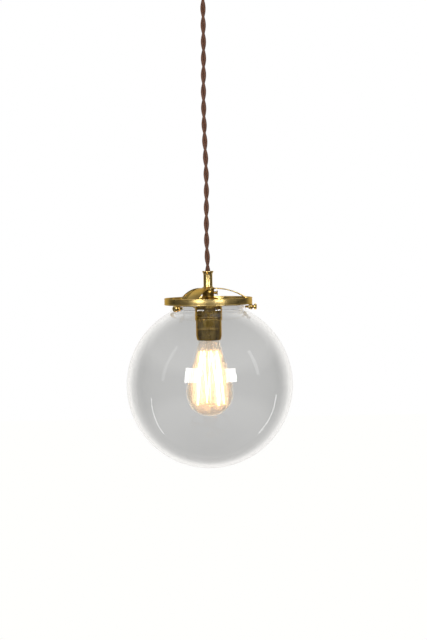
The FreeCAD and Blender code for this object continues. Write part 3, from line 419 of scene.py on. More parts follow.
def clear_glass(name, colour, waviness, bending=1.46, dusty=False):
    """Blown glass: clear, with the slight waviness that blowing leaves; dust spreads light."""
    glass = Finish(name, colour, Roughness=0.0, IOR=bending, Transmission_Weight=1.0)
    if dusty:
        specks = glass.add("MapRange", Value=glass.noise(1500, detail=0.0), From_Min=0.59,
                           From_Max=0.63, To_Min=0.0, To_Max=0.9)
        glass.feed(glass.shader.inputs["Roughness"], specks.outputs["Result"])
    glass.bumps(glass.noise(14, detail=1.0), waviness, 1.0)
    return glass.material


def glazed_porcelain():
    glaze = Finish("glazed porcelain", (0.84, 0.80, 0.72), Roughness=0.14, Coat_Weight=0.6,
                   Coat_Roughness=0.05)
    glaze.colours(glaze.noise(260, detail=6.0), (0.3, (0.74, 0.68, 0.58)),
                  (0.5, (0.84, 0.80, 0.72)), (0.7, (0.88, 0.86, 0.80)))
    glaze.bumps(glaze.noise(300, detail=2.0), 0.03 * MM, 0.5)
    return glaze.material


def black_vitrite():
    vitrite = Finish("black vitrite", (0.012, 0.012, 0.014), Roughness=0.12, Coat_Weight=0.5)
    vitrite.spread(vitrite.noise(300, detail=4.0), 0.08, 0.22)
    vitrite.bumps(vitrite.noise(350, detail=3.0), 0.02 * MM, 0.5)
    return vitrite.material


def rolled_cap_metal():
    metal = Finish("rolled cap metal", (0.70, 0.57, 0.33), Metallic=1.0, Roughness=0.26)
    metal.colours(metal.noise(150, detail=5.0), (0.35, (0.56, 0.42, 0.20)),
                  (0.65, (0.76, 0.63, 0.38)))
    metal.spread(metal.noise(240, detail=5.0), 0.18, 0.36)
    metal.bumps(metal.noise(800, (1, 1, 4), detail=2.0), 0.01 * MM, 0.5)
    return metal.material


def pressed_fibre():
    fibre = Finish("pressed fibre", (0.20, 0.14, 0.09), Roughness=0.8)
    fibre.colours(fibre.noise(420, (1, 1, 0.3), detail=8.0), (0.35, (0.13, 0.09, 0.055)),
                  (0.65, (0.26, 0.19, 0.12)))
    fibre.bumps(fibre.noise(900, detail=6.0), 0.06 * MM, 0.7)
    return fibre.material


def tinned_solder():
    solder = Finish("tinned solder", (0.60, 0.60, 0.61), Metallic=1.0, Roughness=0.36)
    solder.spread(solder.noise(500, detail=6.0), 0.25, 0.5)
    solder.bumps(solder.noise(420, detail=5.0), 0.12 * MM, 0.7)
    return solder.material


def support_wire():
    wire = Finish("support wire", (0.34, 0.31, 0.28), Metallic=1.0, Roughness=0.4)
    wire.spread(wire.noise(900, detail=4.0), 0.3, 0.5)
    wire.bumps(wire.noise(1500, detail=3.0), 0.01 * MM, 0.5)
    return wire.material


def glowing_filament():
    """Lit carbonised wire: amber where it is thin, nearly white where it is hottest."""
    wire = Finish("glowing filament", (0.9, 0.55, 0.2), Roughness=0.6)
    wire.shader.inputs["Emission Strength"].default_value = 300.0
    ramp = wire.add("ValToRGB", Fac=wire.noise(60, (1, 1, 0.4), detail=2.0))
    ramp.color_ramp.elements[0].position = 0.3
    ramp.color_ramp.elements[0].color = (1.0, 0.50, 0.16, 1)
    ramp.color_ramp.elements[1].position = 0.6
    ramp.color_ramp.elements[1].color = (1.0, 0.72, 0.38, 1)
    wire.feed(wire.shader.inputs["Emission Color"], ramp.outputs["Color"])
    return wire.material


BRASS = polished_brass()
AGED = aged_brass()
ZINC = zinc_plate()
BRAID = braided_rayon()
BROWN_CORE = insulation("brown insulation", (0.20, 0.085, 0.035))
BLUE_CORE = insulation("blue insulation", (0.035, 0.12, 0.42))
GLOBE_GLASS = clear_glass("globe glass", (1.0, 1.0, 1.0), 0.04 * MM)
BULB_GLASS = clear_glass("bulb glass", (1.0, 0.97, 0.92), 0.05 * MM, 1.25, dusty=True)
PORCELAIN = glazed_porcelain()
VITRITE = black_vitrite()
CAP_METAL = rolled_cap_metal()
FIBRE = pressed_fibre()
SOLDER = tinned_solder()
WIRE = support_wire()
GLOW = glowing_filament()


def dress(piece, material, body, slot, *stands_for):
    """Gives a finished piece its material, its body and the CAD nodes that it stands for."""
    put_down()
    piece.data.materials.clear()
    piece.data.materials.append(material)
    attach(piece, body)
    if stands_for:
        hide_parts(*stands_for)
    return piece


def finish_nodes(material, *nodes):
    """CAD nodes whose shape is right keep it and get a better finish."""
    for node in nodes:
        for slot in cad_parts[node].material_slots:
            slot.material = material


# ---------------------------------------------------------------- ceiling end


def make_canopy():
    """Spun cup with a rolled rim and a raised bead round its shoulder."""
    top, foot = high("canopy").z, low("canopy").z
    r, wall, shoulder = high("canopy").x, 1.0 * MM, 12 * MM
    hole = 5.2 * MM
    rings = [
        (r - wall, top - 0.6 * MM),
        (r - wall * 0.6, top),
        (r - 0.15 * MM, top - 0.1 * MM),
        (r, top - 0.7 * MM),
        (r, top - 2.2 * MM),
        (r - 0.4 * MM, top - 2.8 * MM),
        (r - 0.4 * MM, foot + shoulder + 2.4 * MM),
        (r, foot + shoulder + 1.8 * MM),
        (r, foot + shoulder + 0.6 * MM),
        *arc(r - shoulder, foot + shoulder, shoulder - 0.3 * MM, 0, -90, 14),
        (hole + 4 * MM, foot),
        (hole, foot),
        (hole, foot + wall),
        *arc(r - shoulder, foot + shoulder, shoulder - wall - 0.3 * MM, -90, 0, 14),
    ]
    canopy = spun("canopy_cup", rings, sides=128)
    dress(canopy, BRASS, "ceiling", "polished_brass", "canopy")


def make_canopy_screws():
    """Slotted dome heads on threaded shanks."""
    for side, bearing in (("left", -90), ("right", 90)):
        node = f"canopy_screw_{side}"
        r_cup = high("canopy").x
        level = (high(node).z + low(node).z) / 2
        height, r_head, r_shank, shank = 2.4 * MM, 4 * MM, 2 * MM, 7 * MM
        dome = (r_head**2 + height**2) / (2 * height)
        lean = math.degrees(math.asin(r_head / dome))
        rings = [
            (r_shank * 0.7, -shank),
            (r_shank, -shank + 0.6 * MM),
            *steps_between(r_shank, -shank + 0.8 * MM, -0.2 * MM, 0.12 * MM),
            (r_head, 0.05 * MM),
            *arc(0, height - dome, dome, 90 - lean + 3, 88, 9),
        ]
        screw = turned(f"{node}_slotted", rings, sides=40)
        threaded(screw, -shank, -0.1 * MM, 0.7 * MM, 0.35 * MM, r_shank * 0.9)
        cut_away(screw, cutter((r_head * 3, 0.9 * MM, 1.6 * MM), (0, 0, height)))
        soften(screw, 0.08 * MM, 1, angle=50)
        lay_out(screw, bearing, r_cup, level)
        dress(screw, BRASS, "ceiling", "polished_brass", node)


def flared_tube(name, node, body, mouth, foot, collar):
    """Thin tube with a trumpet mouth and a rolled lip; mouth and foot are its two ends, and the
    thread runs from the foot to the collar."""
    way = 1 if mouth > foot else -1
    r_tube, r_flare, r_thread, bore = 5.4 * MM, 6.75 * MM, 5.0 * MM, 3.7 * MM
    rings = [
        (bore, foot),
        (r_thread - 0.4 * MM, foot),
        *steps_between(r_thread, foot + 0.4 * MM * way, collar - 0.2 * MM * way, 0.16 * MM),
        (r_tube + 0.5 * MM, collar),
        (r_tube + 0.55 * MM, collar + 0.5 * MM * way),
        (r_tube + 0.1 * MM, collar + 0.9 * MM * way),
        (r_tube, collar + 1.4 * MM * way),
        (r_tube, mouth - 4.6 * MM * way),
        (r_tube + 0.12 * MM, mouth - 3.4 * MM * way),
        (r_tube + 0.45 * MM, mouth - 2.3 * MM * way),
        (r_tube + 0.95 * MM, mouth - 1.5 * MM * way),
        (r_flare - 0.08 * MM, mouth - 1.0 * MM * way),
        (r_flare, mouth - 0.5 * MM * way),
        (r_flare - 0.12 * MM, mouth - 0.1 * MM * way),
        (r_flare - 0.4 * MM, mouth),
        (r_flare - 0.8 * MM, mouth - 0.2 * MM * way),
        (r_flare - 1.7 * MM, mouth - 1.6 * MM * way),
        (bore + 0.25 * MM, mouth - 3.4 * MM * way),
        (bore, mouth - 4.6 * MM * way),
    ]
    tube = spun(name, rings, sides=72)
    threaded(tube, min(foot, collar) + 0.3 * MM, max(foot, collar) - 0.3 * MM, 1.0 * MM,
             0.5 * MM, r_thread * 0.9)
    dress(tube, BRASS, body, "polished_brass", node)


def make_canopy_bush():
    node = "canopy_bush"
    under_cup = low("canopy").z
    flared_tube("canopy_bush_flared", node, "ceiling", low(node).z, high(node).z, under_cup)
    collar = spun("canopy_bush_collar", [
        (5.6 * MM, under_cup - 0.05 * MM),
        (7.6 * MM, under_cup - 0.05 * MM),
        (8.0 * MM, under_cup - 0.4 * MM),
        (8.0 * MM, under_cup - 1.1 * MM),
        (7.5 * MM, under_cup - 1.6 * MM),
        (6.6 * MM, under_cup - 2.0 * MM),
        (6.2 * MM, under_cup - 2.5 * MM),
        (5.6 * MM, under_cup - 2.5 * MM),
    ], sides=72)
    dress(collar, BRASS, "ceiling", "polished_brass")


def hexagon_nut(name, node, body):
    """Chamfered nut on the thread."""
    top, foot = high(node).z, low(node).z
    r = high(node).y - low(node).y
    corner = max(r, high(node).x - low(node).x) / 2
    nut = spun(name, [
        (5.06 * MM, foot),
        (corner, foot),
        (corner, top),
        (5.06 * MM, top),
    ], sides=6)
    put_down()
    bore = turned(f"{name}_bore", [(5.15 * MM, foot - 1 * MM), (5.15 * MM, top + 1 * MM)], 48)
    cut_away(nut, bore)
    soften(nut, 0.35 * MM, 2, angle=40)
    dress(nut, ZINC, body, "zinc_steel", node)


def make_ceiling_end():
    make_canopy()
    make_canopy_screws()
    make_canopy_bush()
    hexagon_nut("bush_locknut_hex", "bush_locknut", "ceiling")
    finish_nodes(ZINC, "ceiling_bracket", "terminal_block_screws")
    finish_nodes(PORCELAIN, "terminal_block")
    finish_nodes(BROWN_CORE, "canopy_live_lead")
    finish_nodes(BLUE_CORE, "canopy_neutral_lead")


# ---------------------------------------------------------------- flex

STRAND = 1.6 * MM  # radius of one braided strand
TWIST = 39.4 * MM  # the strands go once round in this length
FIRST_TURN = 42  # bearing of the first strand at the top, degrees


def route_points(name, route):
    """Points along the smooth line through a route, and the line's own object is put away."""
    holder = put_in_scene(name, smooth_line(name, [route], 48))
    bpy.context.view_layer.update()
    mesh = bpy.data.meshes.new_from_object(holder)
    points = [Vector(vertex.co) for vertex in mesh.vertices]
    bpy.data.objects.remove(holder)
    bpy.data.meshes.remove(mesh)
    return points


def evenly(points, step):
    """The same line with its points evenly spaced."""
    lengths = [0.0]
    for before, after in zip(points, points[1:]):
        lengths.append(lengths[-1] + (after - before).length)
    count = max(2, round(lengths[-1] / step))
    spaced = []
    index = 0
    for k in range(count + 1):
        along = lengths[-1] * k / count
        while index < len(points) - 2 and lengths[index + 1] < along:
            index += 1
        share = (along - lengths[index]) / (lengths[index + 1] - lengths[index])
        spaced.append((along, points[index].lerp(points[index + 1], share)))
    return spaced


def twisted_pair(name, line, first_turn):
    """Two round strands laid round each other along a line, with a map for their braid."""
    sides = 14
    points, faces, maps = [], [], []
    spaced = evenly(line, 1.0 * MM)
    for strand in range(2):
        base = len(points)
        for along, middle in spaced:
            turn = math.radians(first_turn + 180 * strand) + 2 * math.pi * along / TWIST
            out = Vector((math.sin(turn), -math.cos(turn), 0))
            heading = Vector((math.cos(turn), math.sin(turn), 0)) * (STRAND * 2 * math.pi / TWIST)
            heading = (heading - UP).normalized()
            side = heading.cross(out).normalized()
            centre = middle + out * STRAND
            for k in range(sides):
                angle = 2 * math.pi * k / sides
                points.append(centre + (out * math.cos(angle) + side * math.sin(angle)) * STRAND)
        for row in range(len(spaced) - 1):
            u, u_next = spaced[row][0], spaced[row + 1][0]
            for k in range(sides):
                a, b = base + row * sides + k, base + row * sides + (k + 1) % sides
                faces.append((a, a + sides, b + sides, b))
                v, v_next = k / sides, (k + 1) / sides
                maps += [(u, v), (u_next, v), (u_next, v_next), (u, v_next)]
        for row, order in ((0, 1), (len(spaced) - 1, -1)):
            cap = [base + row * sides + k for k in range(sides)][::order]
            faces.append(tuple(cap))
            maps += [(spaced[row][0], 0)] * sides
    mesh = bpy.data.meshes.new(name)
    mesh.from_pydata(points, [], faces)
    layer = mesh.uv_layers.new(name="UVMap")
    for corner, place in zip(layer.data, maps):
        corner.uv = place
    piece = put_in_scene(name, mesh)
    take_up(piece)
    bpy.ops.object.mode_set(mode="EDIT")
    bpy.ops.mesh.select_all(action="SELECT")
    bpy.ops.mesh.normals_make_consistent(inside=False)
    bpy.ops.object.mode_set(mode="OBJECT")
    bpy.ops.object.shade_smooth_by_angle(angle=math.radians(60))
    return piece


def make_flex():
    """The drop hangs almost straight, with the slight waves of flex that was once coiled."""
    mouth = low("canopy_bush").z
    foot = low("cord").z
    route = [
        Vector((0, 0, mouth + 0.5 * MM)),
        Vector((-0.2 * MM, 0, -0.095)),
        Vector((-0.3 * MM, 0, -0.130)),
        Vector((-1.6 * MM, 0.4 * MM, -0.186)),
        Vector((-1.0 * MM, 0, -0.232)),
        Vector((0.5 * MM, -0.4 * MM, -0.278)),
        Vector((-0.6 * MM, 0, -0.326)),
        Vector((-0.8 * MM, 0, -0.360)),
        Vector((0, 0, -0.382)),
        Vector((0, 0, foot)),
    ]
    line = route_points("flex_route", route)
    drop = twisted_pair("twisted_flex", line, FIRST_TURN)
    dress(drop, BRAID, "hanging_cord", "flex_cloth", "cord", "cord_bend")
    tail_line = route_points("tail_route", [
        Vector((0, 0, high("cord_tail").z)),
        Vector((0, 0, (high("cord_tail").z + mouth) / 2)),
        Vector((0, 0, mouth + 0.7 * MM)),
    ])
    turned_before = 360 * (tail_line[0].z - tail_line[-1].z) / TWIST
    tail = twisted_pair("flex_tail", tail_line, FIRST_TURN - turned_before)
    dress(tail, BRAID, "ceiling", "flex_cloth", "cord_tail")


# ---------------------------------------------------------------- gallery

ARM_BEARINGS = {"front": -24, "right": 96, "back": -144}
SCREW_BEARINGS = {"left": -43, "right": 77, "back": -163}


def make_hub():
    top, foot = high("gallery_hub").z, low("gallery_hub").z
    r = high("gallery_hub").x
    hub = spun("gallery_hub_turned", [
        (5.1 * MM, foot),
        (r - 0.5 * MM, foot),
        (r - 0.1 * MM, foot + 0.3 * MM),
        (r, foot + 0.8 * MM),
        (r, top - 1.0 * MM),
        (r - 0.2 * MM, top - 0.5 * MM),
        (r - 0.8 * MM, top - 0.05 * MM),
        (r - 1.4 * MM, top),
        (5.1 * MM, top),
    ], sides=80)
    dress(hub, BRASS, "lamp", "polished_brass", "gallery_hub")


def make_ring():
    """Band with a small roll along each edge and a slight crown between them."""
    top, foot = high("gallery_ring").z, low("gallery_ring").z
    r, wall = high("gallery_ring").x, 1.2 * MM
    middle = (top + foot) / 2
    rings = [
        (r - wall, foot + 0.4 * MM),
        (r - wall, top - 0.4 * MM),
        (r - wall + 0.15 * MM, top - 0.1 * MM),
        (r - 0.6 * MM, top),
        (r - 0.15 * MM, top - 0.15 * MM),
        (r, top - 0.55 * MM),
        (r - 0.08 * MM, top - 0.95 * MM),
        (r - 0.35 * MM, top - 1.25 * MM),
        (r - 0.30 * MM, top - 2.2 * MM),
        (r - 0.20 * MM, middle),
        (r - 0.30 * MM, foot + 2.2 * MM),
        (r - 0.35 * MM, foot + 1.25 * MM),
        (r - 0.08 * MM, foot + 0.95 * MM),
        (r, foot + 0.55 * MM),
        (r - 0.15 * MM, foot + 0.15 * MM),
        (r - 0.6 * MM, foot),
        (r - wall + 0.15 * MM, foot + 0.1 * MM),
    ]
    ring = spun("gallery_ring_rolled", rings, sides=180)
    dress(ring, BRASS, "lamp", "polished_brass", "gallery_ring")


def make_arm(place, bearing):
    """Arched strip, swept from the hub and trimmed where it meets the inside of the ring."""
    node = f"gallery_arm_{place}"
    inner, width, sheet, curve = high("gallery_hub").x, 14 * MM, 1.3 * MM, 67 * MM
    root_width = 12 * MM
    bore = high("gallery_ring").x - 1.2 * MM
    top = high(node).z
    put_down()
    bpy.ops.mesh.primitive_plane_add(size=1, location=(inner, 0, top - sheet / 2),
                                     rotation=(0, math.pi / 2, 0))
    arm = bpy.context.object
    arm.name = f"{node}_strip"
    arm.scale = (sheet, width, 1)
    settle(arm)
    bpy.ops.object.mode_set(mode="EDIT")
    bpy.ops.mesh.select_all(action="SELECT")
    reach = math.asin((bore - inner) / (curve - sheet)) + math.radians(2)
    bpy.ops.mesh.spin(steps=28, angle=-reach, center=(inner, 0, top - curve), axis=(0, 1, 0))
    bpy.ops.mesh.select_all(action="SELECT")
    bpy.ops.mesh.bisect(plane_co=(bore - 0.05 * MM, 0, 0), plane_no=(1, 0, 0), use_fill=True,
                        clear_outer=True)
    tidy_mesh(arm)
    pick_points(arm, lambda p: p.x < inner + 0.4 * MM)
    bpy.ops.transform.resize(value=(1, root_width / width, 1), center_override=(inner, 0, top))
    bpy.ops.object.mode_set(mode="OBJECT")
    soften(arm, 0.28 * MM, 3, angle=40)
    swing_to(arm, bearing)
    dress(arm, BRASS, "lamp", "polished_brass", node)


def make_screw_lug(place, bearing):
    """Round-ended tab below the ring, bent from its band, with a turned boss through it."""
    node = f"screw_lug_{place}"
    r, wall = high("gallery_ring").x, 1.2 * MM
    ring_foot = low("gallery_ring").z
    half, drop = 3.5 * MM, 3.0 * MM
    axis = ring_foot - drop
    put_down()
    bpy.ops.mesh.primitive_circle_add(vertices=32, radius=half, fill_type="NGON",
                                      location=(r - wall, 0, axis),
                                      rotation=(0, math.pi / 2, 0))
    tab = bpy.context.object
    tab.name = f"{node}_tab"
    settle(tab)
    pick_points(tab, lambda p: p.z > axis + 0.01 * MM)
    bpy.ops.transform.translate(value=(0, 0, drop))
    bpy.ops.object.mode_set(mode="OBJECT")
    for point in tab.data.vertices:
        point.co.z = min(point.co.z, ring_foot + 0.6 * MM)
    bpy.ops.object.mode_set(mode="EDIT")
    bpy.ops.mesh.select_all(action="SELECT")
    bpy.ops.mesh.extrude_region_move(TRANSFORM_OT_translate={"value": (wall, 0, 0)})
    tidy_mesh(tab)
    soften(tab, 0.25 * MM, 2, angle=40)
    swing_to(tab, bearing)
    boss = spun(f"{node}_boss", [
        (1.62 * MM, -2.3 * MM),
        (2.5 * MM, -2.3 * MM),
        (2.9 * MM, -1.9 * MM),
        (2.9 * MM, wall + 0.5 * MM),
        (2.6 * MM, wall + 1.0 * MM),
        (2.2 * MM, wall + 1.2 * MM),
        (1.62 * MM, wall + 1.2 * MM),
    ], sides=40)
    lay_out(boss, bearing, r - wall, axis)
    take_up(tab)
    boss.select_set(True)
    bpy.ops.object.join()
    dress(tab, BRASS, "lamp", "polished_brass", node)


def make_globe_screw(place, bearing):
    """Thumb screw with a gripped, domed head and a waist behind it."""
    node = f"globe_screw_{place}"
    axis = (high(node).z + low(node).z) / 2
    length, head, r_head, r_shank = 11.5 * MM, 2.5 * MM, 3.6 * MM, 1.5 * MM
    screw = turned(f"{node}_thumb", [
        (r_shank * 0.45, 0),
        (r_shank * 0.9, 0.35 * MM),
        *steps_between(r_shank, 0.5 * MM, 8.2 * MM, 0.13 * MM),
        (r_shank, 9.0 * MM),
        (1.9 * MM, 10.4 * MM),
        (2.3 * MM, 11.2 * MM),
        (r_head - 0.5 * MM, length),
        (r_head - 0.12 * MM, length + 0.25 * MM),
        (r_head - 0.12 * MM, length + head - 0.7 * MM),
        (r_head - 0.5 * MM, length + head - 0.35 * MM),
        (r_head * 0.6, length + head - 0.1 * MM),
        (r_head * 0.25, length + head),
    ], sides=48)
    threaded(screw, 0.3 * MM, 8.4 * MM, 0.5 * MM, 0.3 * MM, r_shank * 0.8)
    notched(screw, length + 0.2 * MM, length + head - 0.6 * MM, 0.12 * MM)
    soften(screw, 0)
    lay_out(screw, bearing, 45.0 * MM, axis)
    dress(screw, BRASS, f"{place}_globe_screw", "polished_brass", node)


def make_gallery():
    node = "cord_tube"
    flared_tube("cord_tube_flared", node, "lamp", high(node).z, low(node).z,
                high("gallery_hub").z)
    make_hub()
    make_ring()
    for place, bearing in ARM_BEARINGS.items():
        make_arm(place, bearing)
    for place, bearing in SCREW_BEARINGS.items():
        make_screw_lug(place, bearing)
        make_globe_screw(place, bearing)


# ---------------------------------------------------------------- lampholder

CAP_R = 16.4 * MM
WINDOW_BEARINGS = (-39.5, 50.5, 140.5, -129.5)


def bead(radius, level, reach, height):
    """A rounded bead rolled into a wall, from its foot to its top."""
    half = height / 2
    return [
        (radius, level - half),
        (radius + reach * 0.7, level - half * 0.6),
        (radius + reach, level),
        (radius + reach * 0.7, level + half * 0.6),
        (radius, level + half),
    ]


def make_holder_cap():
    """Spun dome on a threaded neck: rolled beads round its skirt and four vent windows."""
    top, foot = high("holder_cap").z, low("holder_cap").z
    neck, wall = 7.0 * MM, 0.8 * MM
    bore = 5.1 * MM
    dome = CAP_R - neck
    spring = top - 8.5 * MM - dome
    body = CAP_R - 0.3 * MM
    cap = spun("holder_cap_spun", [
        (bore, top),
        (bore, spring + dome - wall),
        (neck - 0.4 * MM, spring + dome - wall),
        *arc(neck, spring, dome - wall - 0.3 * MM, 80, 0, 8),
        (body - wall, foot + 0.3 * MM),
        (body - wall * 0.5, foot),
        (CAP_R, foot + 0.15 * MM),
        (CAP_R, foot + 0.9 * MM),
        (body, foot + 1.4 * MM),
        *bead(body, foot + 3.0 * MM, 0.3 * MM, 1.8 * MM),
        *bead(body, foot + 6.0 * MM, 0.3 * MM, 1.8 * MM),
        *bead(body, foot + 8.6 * MM, 0.25 * MM, 1.2 * MM),
        (body, foot + 14.6 * MM),
        *arc(neck, spring, dome - 0.3 * MM, 0, 86, 12),
        (neck, spring + dome + 0.4 * MM),
        (neck, top - 4.9 * MM),
        (neck + 0.3 * MM, top - 4.4 * MM),
        (neck + 0.3 * MM, top - 0.7 * MM),
        (neck, top - 0.2 * MM),
        (neck - 0.3 * MM, top),
    ], sides=112)
    window_top = top - 22.4 * MM
    for bearing in WINDOW_BEARINGS:
        place = toward(bearing) * CAP_R + Vector((0, 0, window_top - 1.6 * MM))
        cut_away(cap, cutter((10 * MM, 11.4 * MM, 3.2 * MM), place, bearing))
    soften(cap, 0, angle=38)
    dress(cap, AGED, "lamp", "aged_brass", "holder_cap")


RIVET_BEARING = -4


def make_cap_rivet():
    """Domed rivet between two windows, its closed end inside the cap."""
    level = (high("cap_rivet").z + low("cap_rivet").z) / 2
    head, reach, gap, wall = 0.7 * MM, 1.6 * MM, 0.05 * MM, 0.8 * MM
    dome = (reach * reach + head * head) / (head * 2)
    rivet = turned("cap_rivet_head", [
        (1.1 * MM, -(wall + gap + 0.5 * MM)),
        (1.3 * MM, -(wall + gap + 0.3 * MM)),
        (1.3 * MM, -(wall + gap)),
        (0.9 * MM, -(wall + gap)),
        (0.9 * MM, gap),
        (reach, gap),
        *[(math.sin(turn) * dome, gap + head - dome + math.cos(turn) * dome)
          for turn in (0.80, 0.55, 0.30)],
    ], sides=28)
    soften(rivet, 0)
    lay_out(rivet, RIVET_BEARING, CAP_R, level)
    dress(rivet, AGED, "lamp", "aged_brass", "cap_rivet")


def make_neck_screw():
    """Small waisted thumb screw."""
    head = 3.4 * MM
    start = 3.0 * MM
    level = (high("neck_screw").z + low("neck_screw").z) / 2
    screw = turned("neck_screw_thumb", [
        (0.8 * MM, 0),
        (1.45 * MM, 0.4 * MM),
        (1.5 * MM, start - 0.1 * MM),
        (2.0 * MM, start + 0.2 * MM),
        (1.9 * MM, start + head * 0.2),
        (1.45 * MM, start + head * 0.38),
        (1.6 * MM, start + head * 0.5),
        (2.5 * MM, start + head * 0.62),
        (2.6 * MM, start + head * 0.72),
        (2.6 * MM, start + head * 0.9),
        (2.2 * MM, start + head),
    ], sides=48)
    notched(screw, start + head * 0.66, start + head * 0.88, 0.08 * MM)
    soften(screw, 0)
    lay_out(screw, 90, 5.1 * MM, level)
    dress(screw, AGED, "neck_thumb_screw", "aged_brass", "neck_screw")


def make_holder_shell():
    """Skirt round the bulb's cap: beaded near its foot, which turns in."""
    top, foot = high("holder_shell").z, low("holder_shell").z
    r, wall, turn_in, rounded = 15.55 * MM, 0.6 * MM, 1.4 * MM, 6.8 * MM
    curve = (turn_in**2 + rounded**2) / (2 * turn_in)
    lean = math.degrees(math.asin(rounded / curve))
    spring = foot + rounded
    body = r - 0.2 * MM
    rings = [
        (body - wall, spring),
        (body - wall, top - 0.2 * MM),
        (body - wall / 2, top),
        (body, top - 0.2 * MM),
        (body, spring + 9.0 * MM),
        *reversed(bead(body, spring + 6.4 * MM, 0.2 * MM, 1.0 * MM)),
        *arc(body - curve, spring, curve, 0, -lean, 8),
        (body - turn_in - 0.25 * MM, foot),
        (body - turn_in - wall, foot + 0.1 * MM),
        *arc(body - curve, spring, curve - wall, -lean + 2, -1, 7),
    ]
    shell = spun("holder_shell_spun", rings, sides=112)
    dress(shell, AGED, "lamp", "aged_brass", "holder_shell")


def make_lampholder():
    make_holder_cap()
    make_cap_rivet()
    make_neck_screw()
    make_holder_shell()
    hexagon_nut("holder_locknut_hex", "holder_locknut", "lamp")
    finish_nodes(PORCELAIN, "porcelain_base")
    finish_nodes(CAP_METAL, "live_terminal", "neutral_terminal", "contact_shell",
                 "centre_contact")
    finish_nodes(ZINC, "terminal_screws")
    finish_nodes(BROWN_CORE, "live_lead")
    finish_nodes(BLUE_CORE, "neutral_lead")
    finish_nodes(FIBRE, "insulating_liner")


# ---------------------------------------------------------------- bulb

BULB_FOOT = low("bulb_cap").z
CAGE_LOOPS = 7
UPPER_HOOK = (9.5 * MM, BULB_FOOT - 15 * MM)  # radius and height of the upper hooks
LOWER_HOOK = (16.5 * MM, BULB_FOOT - 80 * MM)


def make_bulb_cap():
    """Screw cap rolled from sheet."""
    top, foot = high("bulb_cap").z, low("bulb_cap").z
    r, wall, pitch = 13.1 * MM, 0.35 * MM, 3.62 * MM
    cap = turned("bulb_cap_rolled", [
        (r - 2.6 * MM, top - 0.3 * MM),
        (r - 1.6 * MM, top - 0.1 * MM),
        (r - 0.9 * MM, top - 1.0 * MM),
        *steps_between(r, top - 2.0 * MM, foot + 3.4 * MM, 0.4 * MM),
        (r - 0.5 * MM, foot + 2.6 * MM),
        (r - 0.5 * MM, foot + 0.3 * MM),
        (r - 0.2 * MM, foot),
        (r - 0.2 * MM - wall, foot + 0.1 * MM),
        (r - 1.0 * MM - wall, foot + 2.6 * MM),
        (r - 1.0 * MM - wall, top - 2.2 * MM),
    ], sides=72)
    threaded(cap, foot + 3.2 * MM, top - 1.8 * MM, pitch, 1.1 * MM, r * 0.97)
    dress(cap, CAP_METAL, "bulb", "cap_brass", "bulb_cap")


def bulb_side():
    """(radius, height) points of the bulb's side, from its widest place up to its neck."""
    r, throat = 28.5 * MM, 14.0 * MM
    widest = BULB_FOOT - 66 * MM
    throat_level = BULB_FOOT - 8 * MM
    steps = 26
    side = []
    for k in range(steps + 1):
        share = k / steps
        ease = share * share * (3 - 2 * share)
        radius = r + (throat - r) * (0.42 * ease + 0.58 * share**1.6)
        side.append((radius, widest + (throat_level - widest) * share))
    neck = 12.4 * MM
    return [*side, (13.3 * MM, throat_level + 2.5 * MM), (12.7 * MM, throat_level + 5 * MM),
            (neck, BULB_FOOT - 0.4 * MM), (neck, BULB_FOOT + 4.8 * MM)]


def blown(name, radius, level, rings, wall, sides, turns):
    """A round end cut off level at its widest place or at a neck, drawn out and given a wall."""
    put_down()
    bpy.ops.mesh.primitive_uv_sphere_add(segments=sides, ring_count=turns, radius=radius,
                                         location=(0, 0, level))
    piece = bpy.context.object
    piece.name = name
    settle(piece)
    cut_level = rings[0][1]
    bpy.ops.object.mode_set(mode="EDIT")
    bpy.ops.mesh.select_all(action="SELECT")
    bpy.ops.mesh.bisect(plane_co=(0, 0, cut_level), plane_no=(0, 0, 1), use_fill=False,
                        clear_outer=True)
    bpy.ops.object.mode_set(mode="OBJECT")
    pick_points(piece, lambda p: abs(p.z - cut_level) < 0.01 * MM)
    draw_out(rings)
    tidy_mesh(piece)
    apply_modifier(piece, "SOLIDIFY", thickness=wall, offset=-1.0, use_even_offset=True)
    return piece


def make_bulb_glass():
    """Drop-shaped envelope with a little sealed tip."""
    rings = bulb_side()
    level = rings[0][1]
    envelope = blown("bulb_envelope", rings[0][0], level, rings, 0.8 * MM, 96, 64)
    tip = low("bulb_glass").z
    for point in envelope.data.vertices:
        reach = math.hypot(point.co.x, point.co.y)
        if point.co.z < level:
            point.co.z = level + (point.co.z - level) * (level - tip) / rings[0][0]
        if point.co.z < level and reach < 3.0 * MM:
            point.co.z += 0.25 * MM * (1 - reach / (3.0 * MM))
    soften(envelope, 0, angle=50)
    dress(envelope, BULB_GLASS, "bulb", "bulb_glass", "bulb_glass")


def make_bulb_stem():
    """Flared tube pinched flat round the wires, and the rod that carries the hooks."""
    top, foot = high("bulb_stem").z, low("bulb_stem").z
    r, rod = 7.0 * MM, 1.2 * MM
    stem = turned("bulb_stem_pinched", [
        (r, top - 0.1 * MM),
        (r * 0.9, top - 2.0 * MM),
        (r * 0.6, top - 6.0 * MM),
        (r * 0.5, top - 9.0 * MM),
        (r * 0.45, top - 13.0 * MM),
        (r * 0.32, top - 16.0 * MM),
        (rod, top - 18.0 * MM),
        (rod, foot + 4.0 * MM),
        (rod + 0.5 * MM, foot + 3.2 * MM),
        (rod + 0.8 * MM, foot + 2.2 * MM),
        (rod + 0.5 * MM, foot + 1.0 * MM),
        (0.5 * MM, foot + 0.1 * MM),
    ], sides=40)
    pick_points(stem, lambda p: top - 14 * MM < p.z < top - 8 * MM)
    bpy.ops.transform.resize(value=(1, 0.62, 1), center_override=(0, 0, top))
    bpy.ops.object.mode_set(mode="OBJECT")
    soften(stem, 0, angle=60)
    dress(stem, BULB_GLASS, "bulb", "bulb_glass", "bulb_stem")


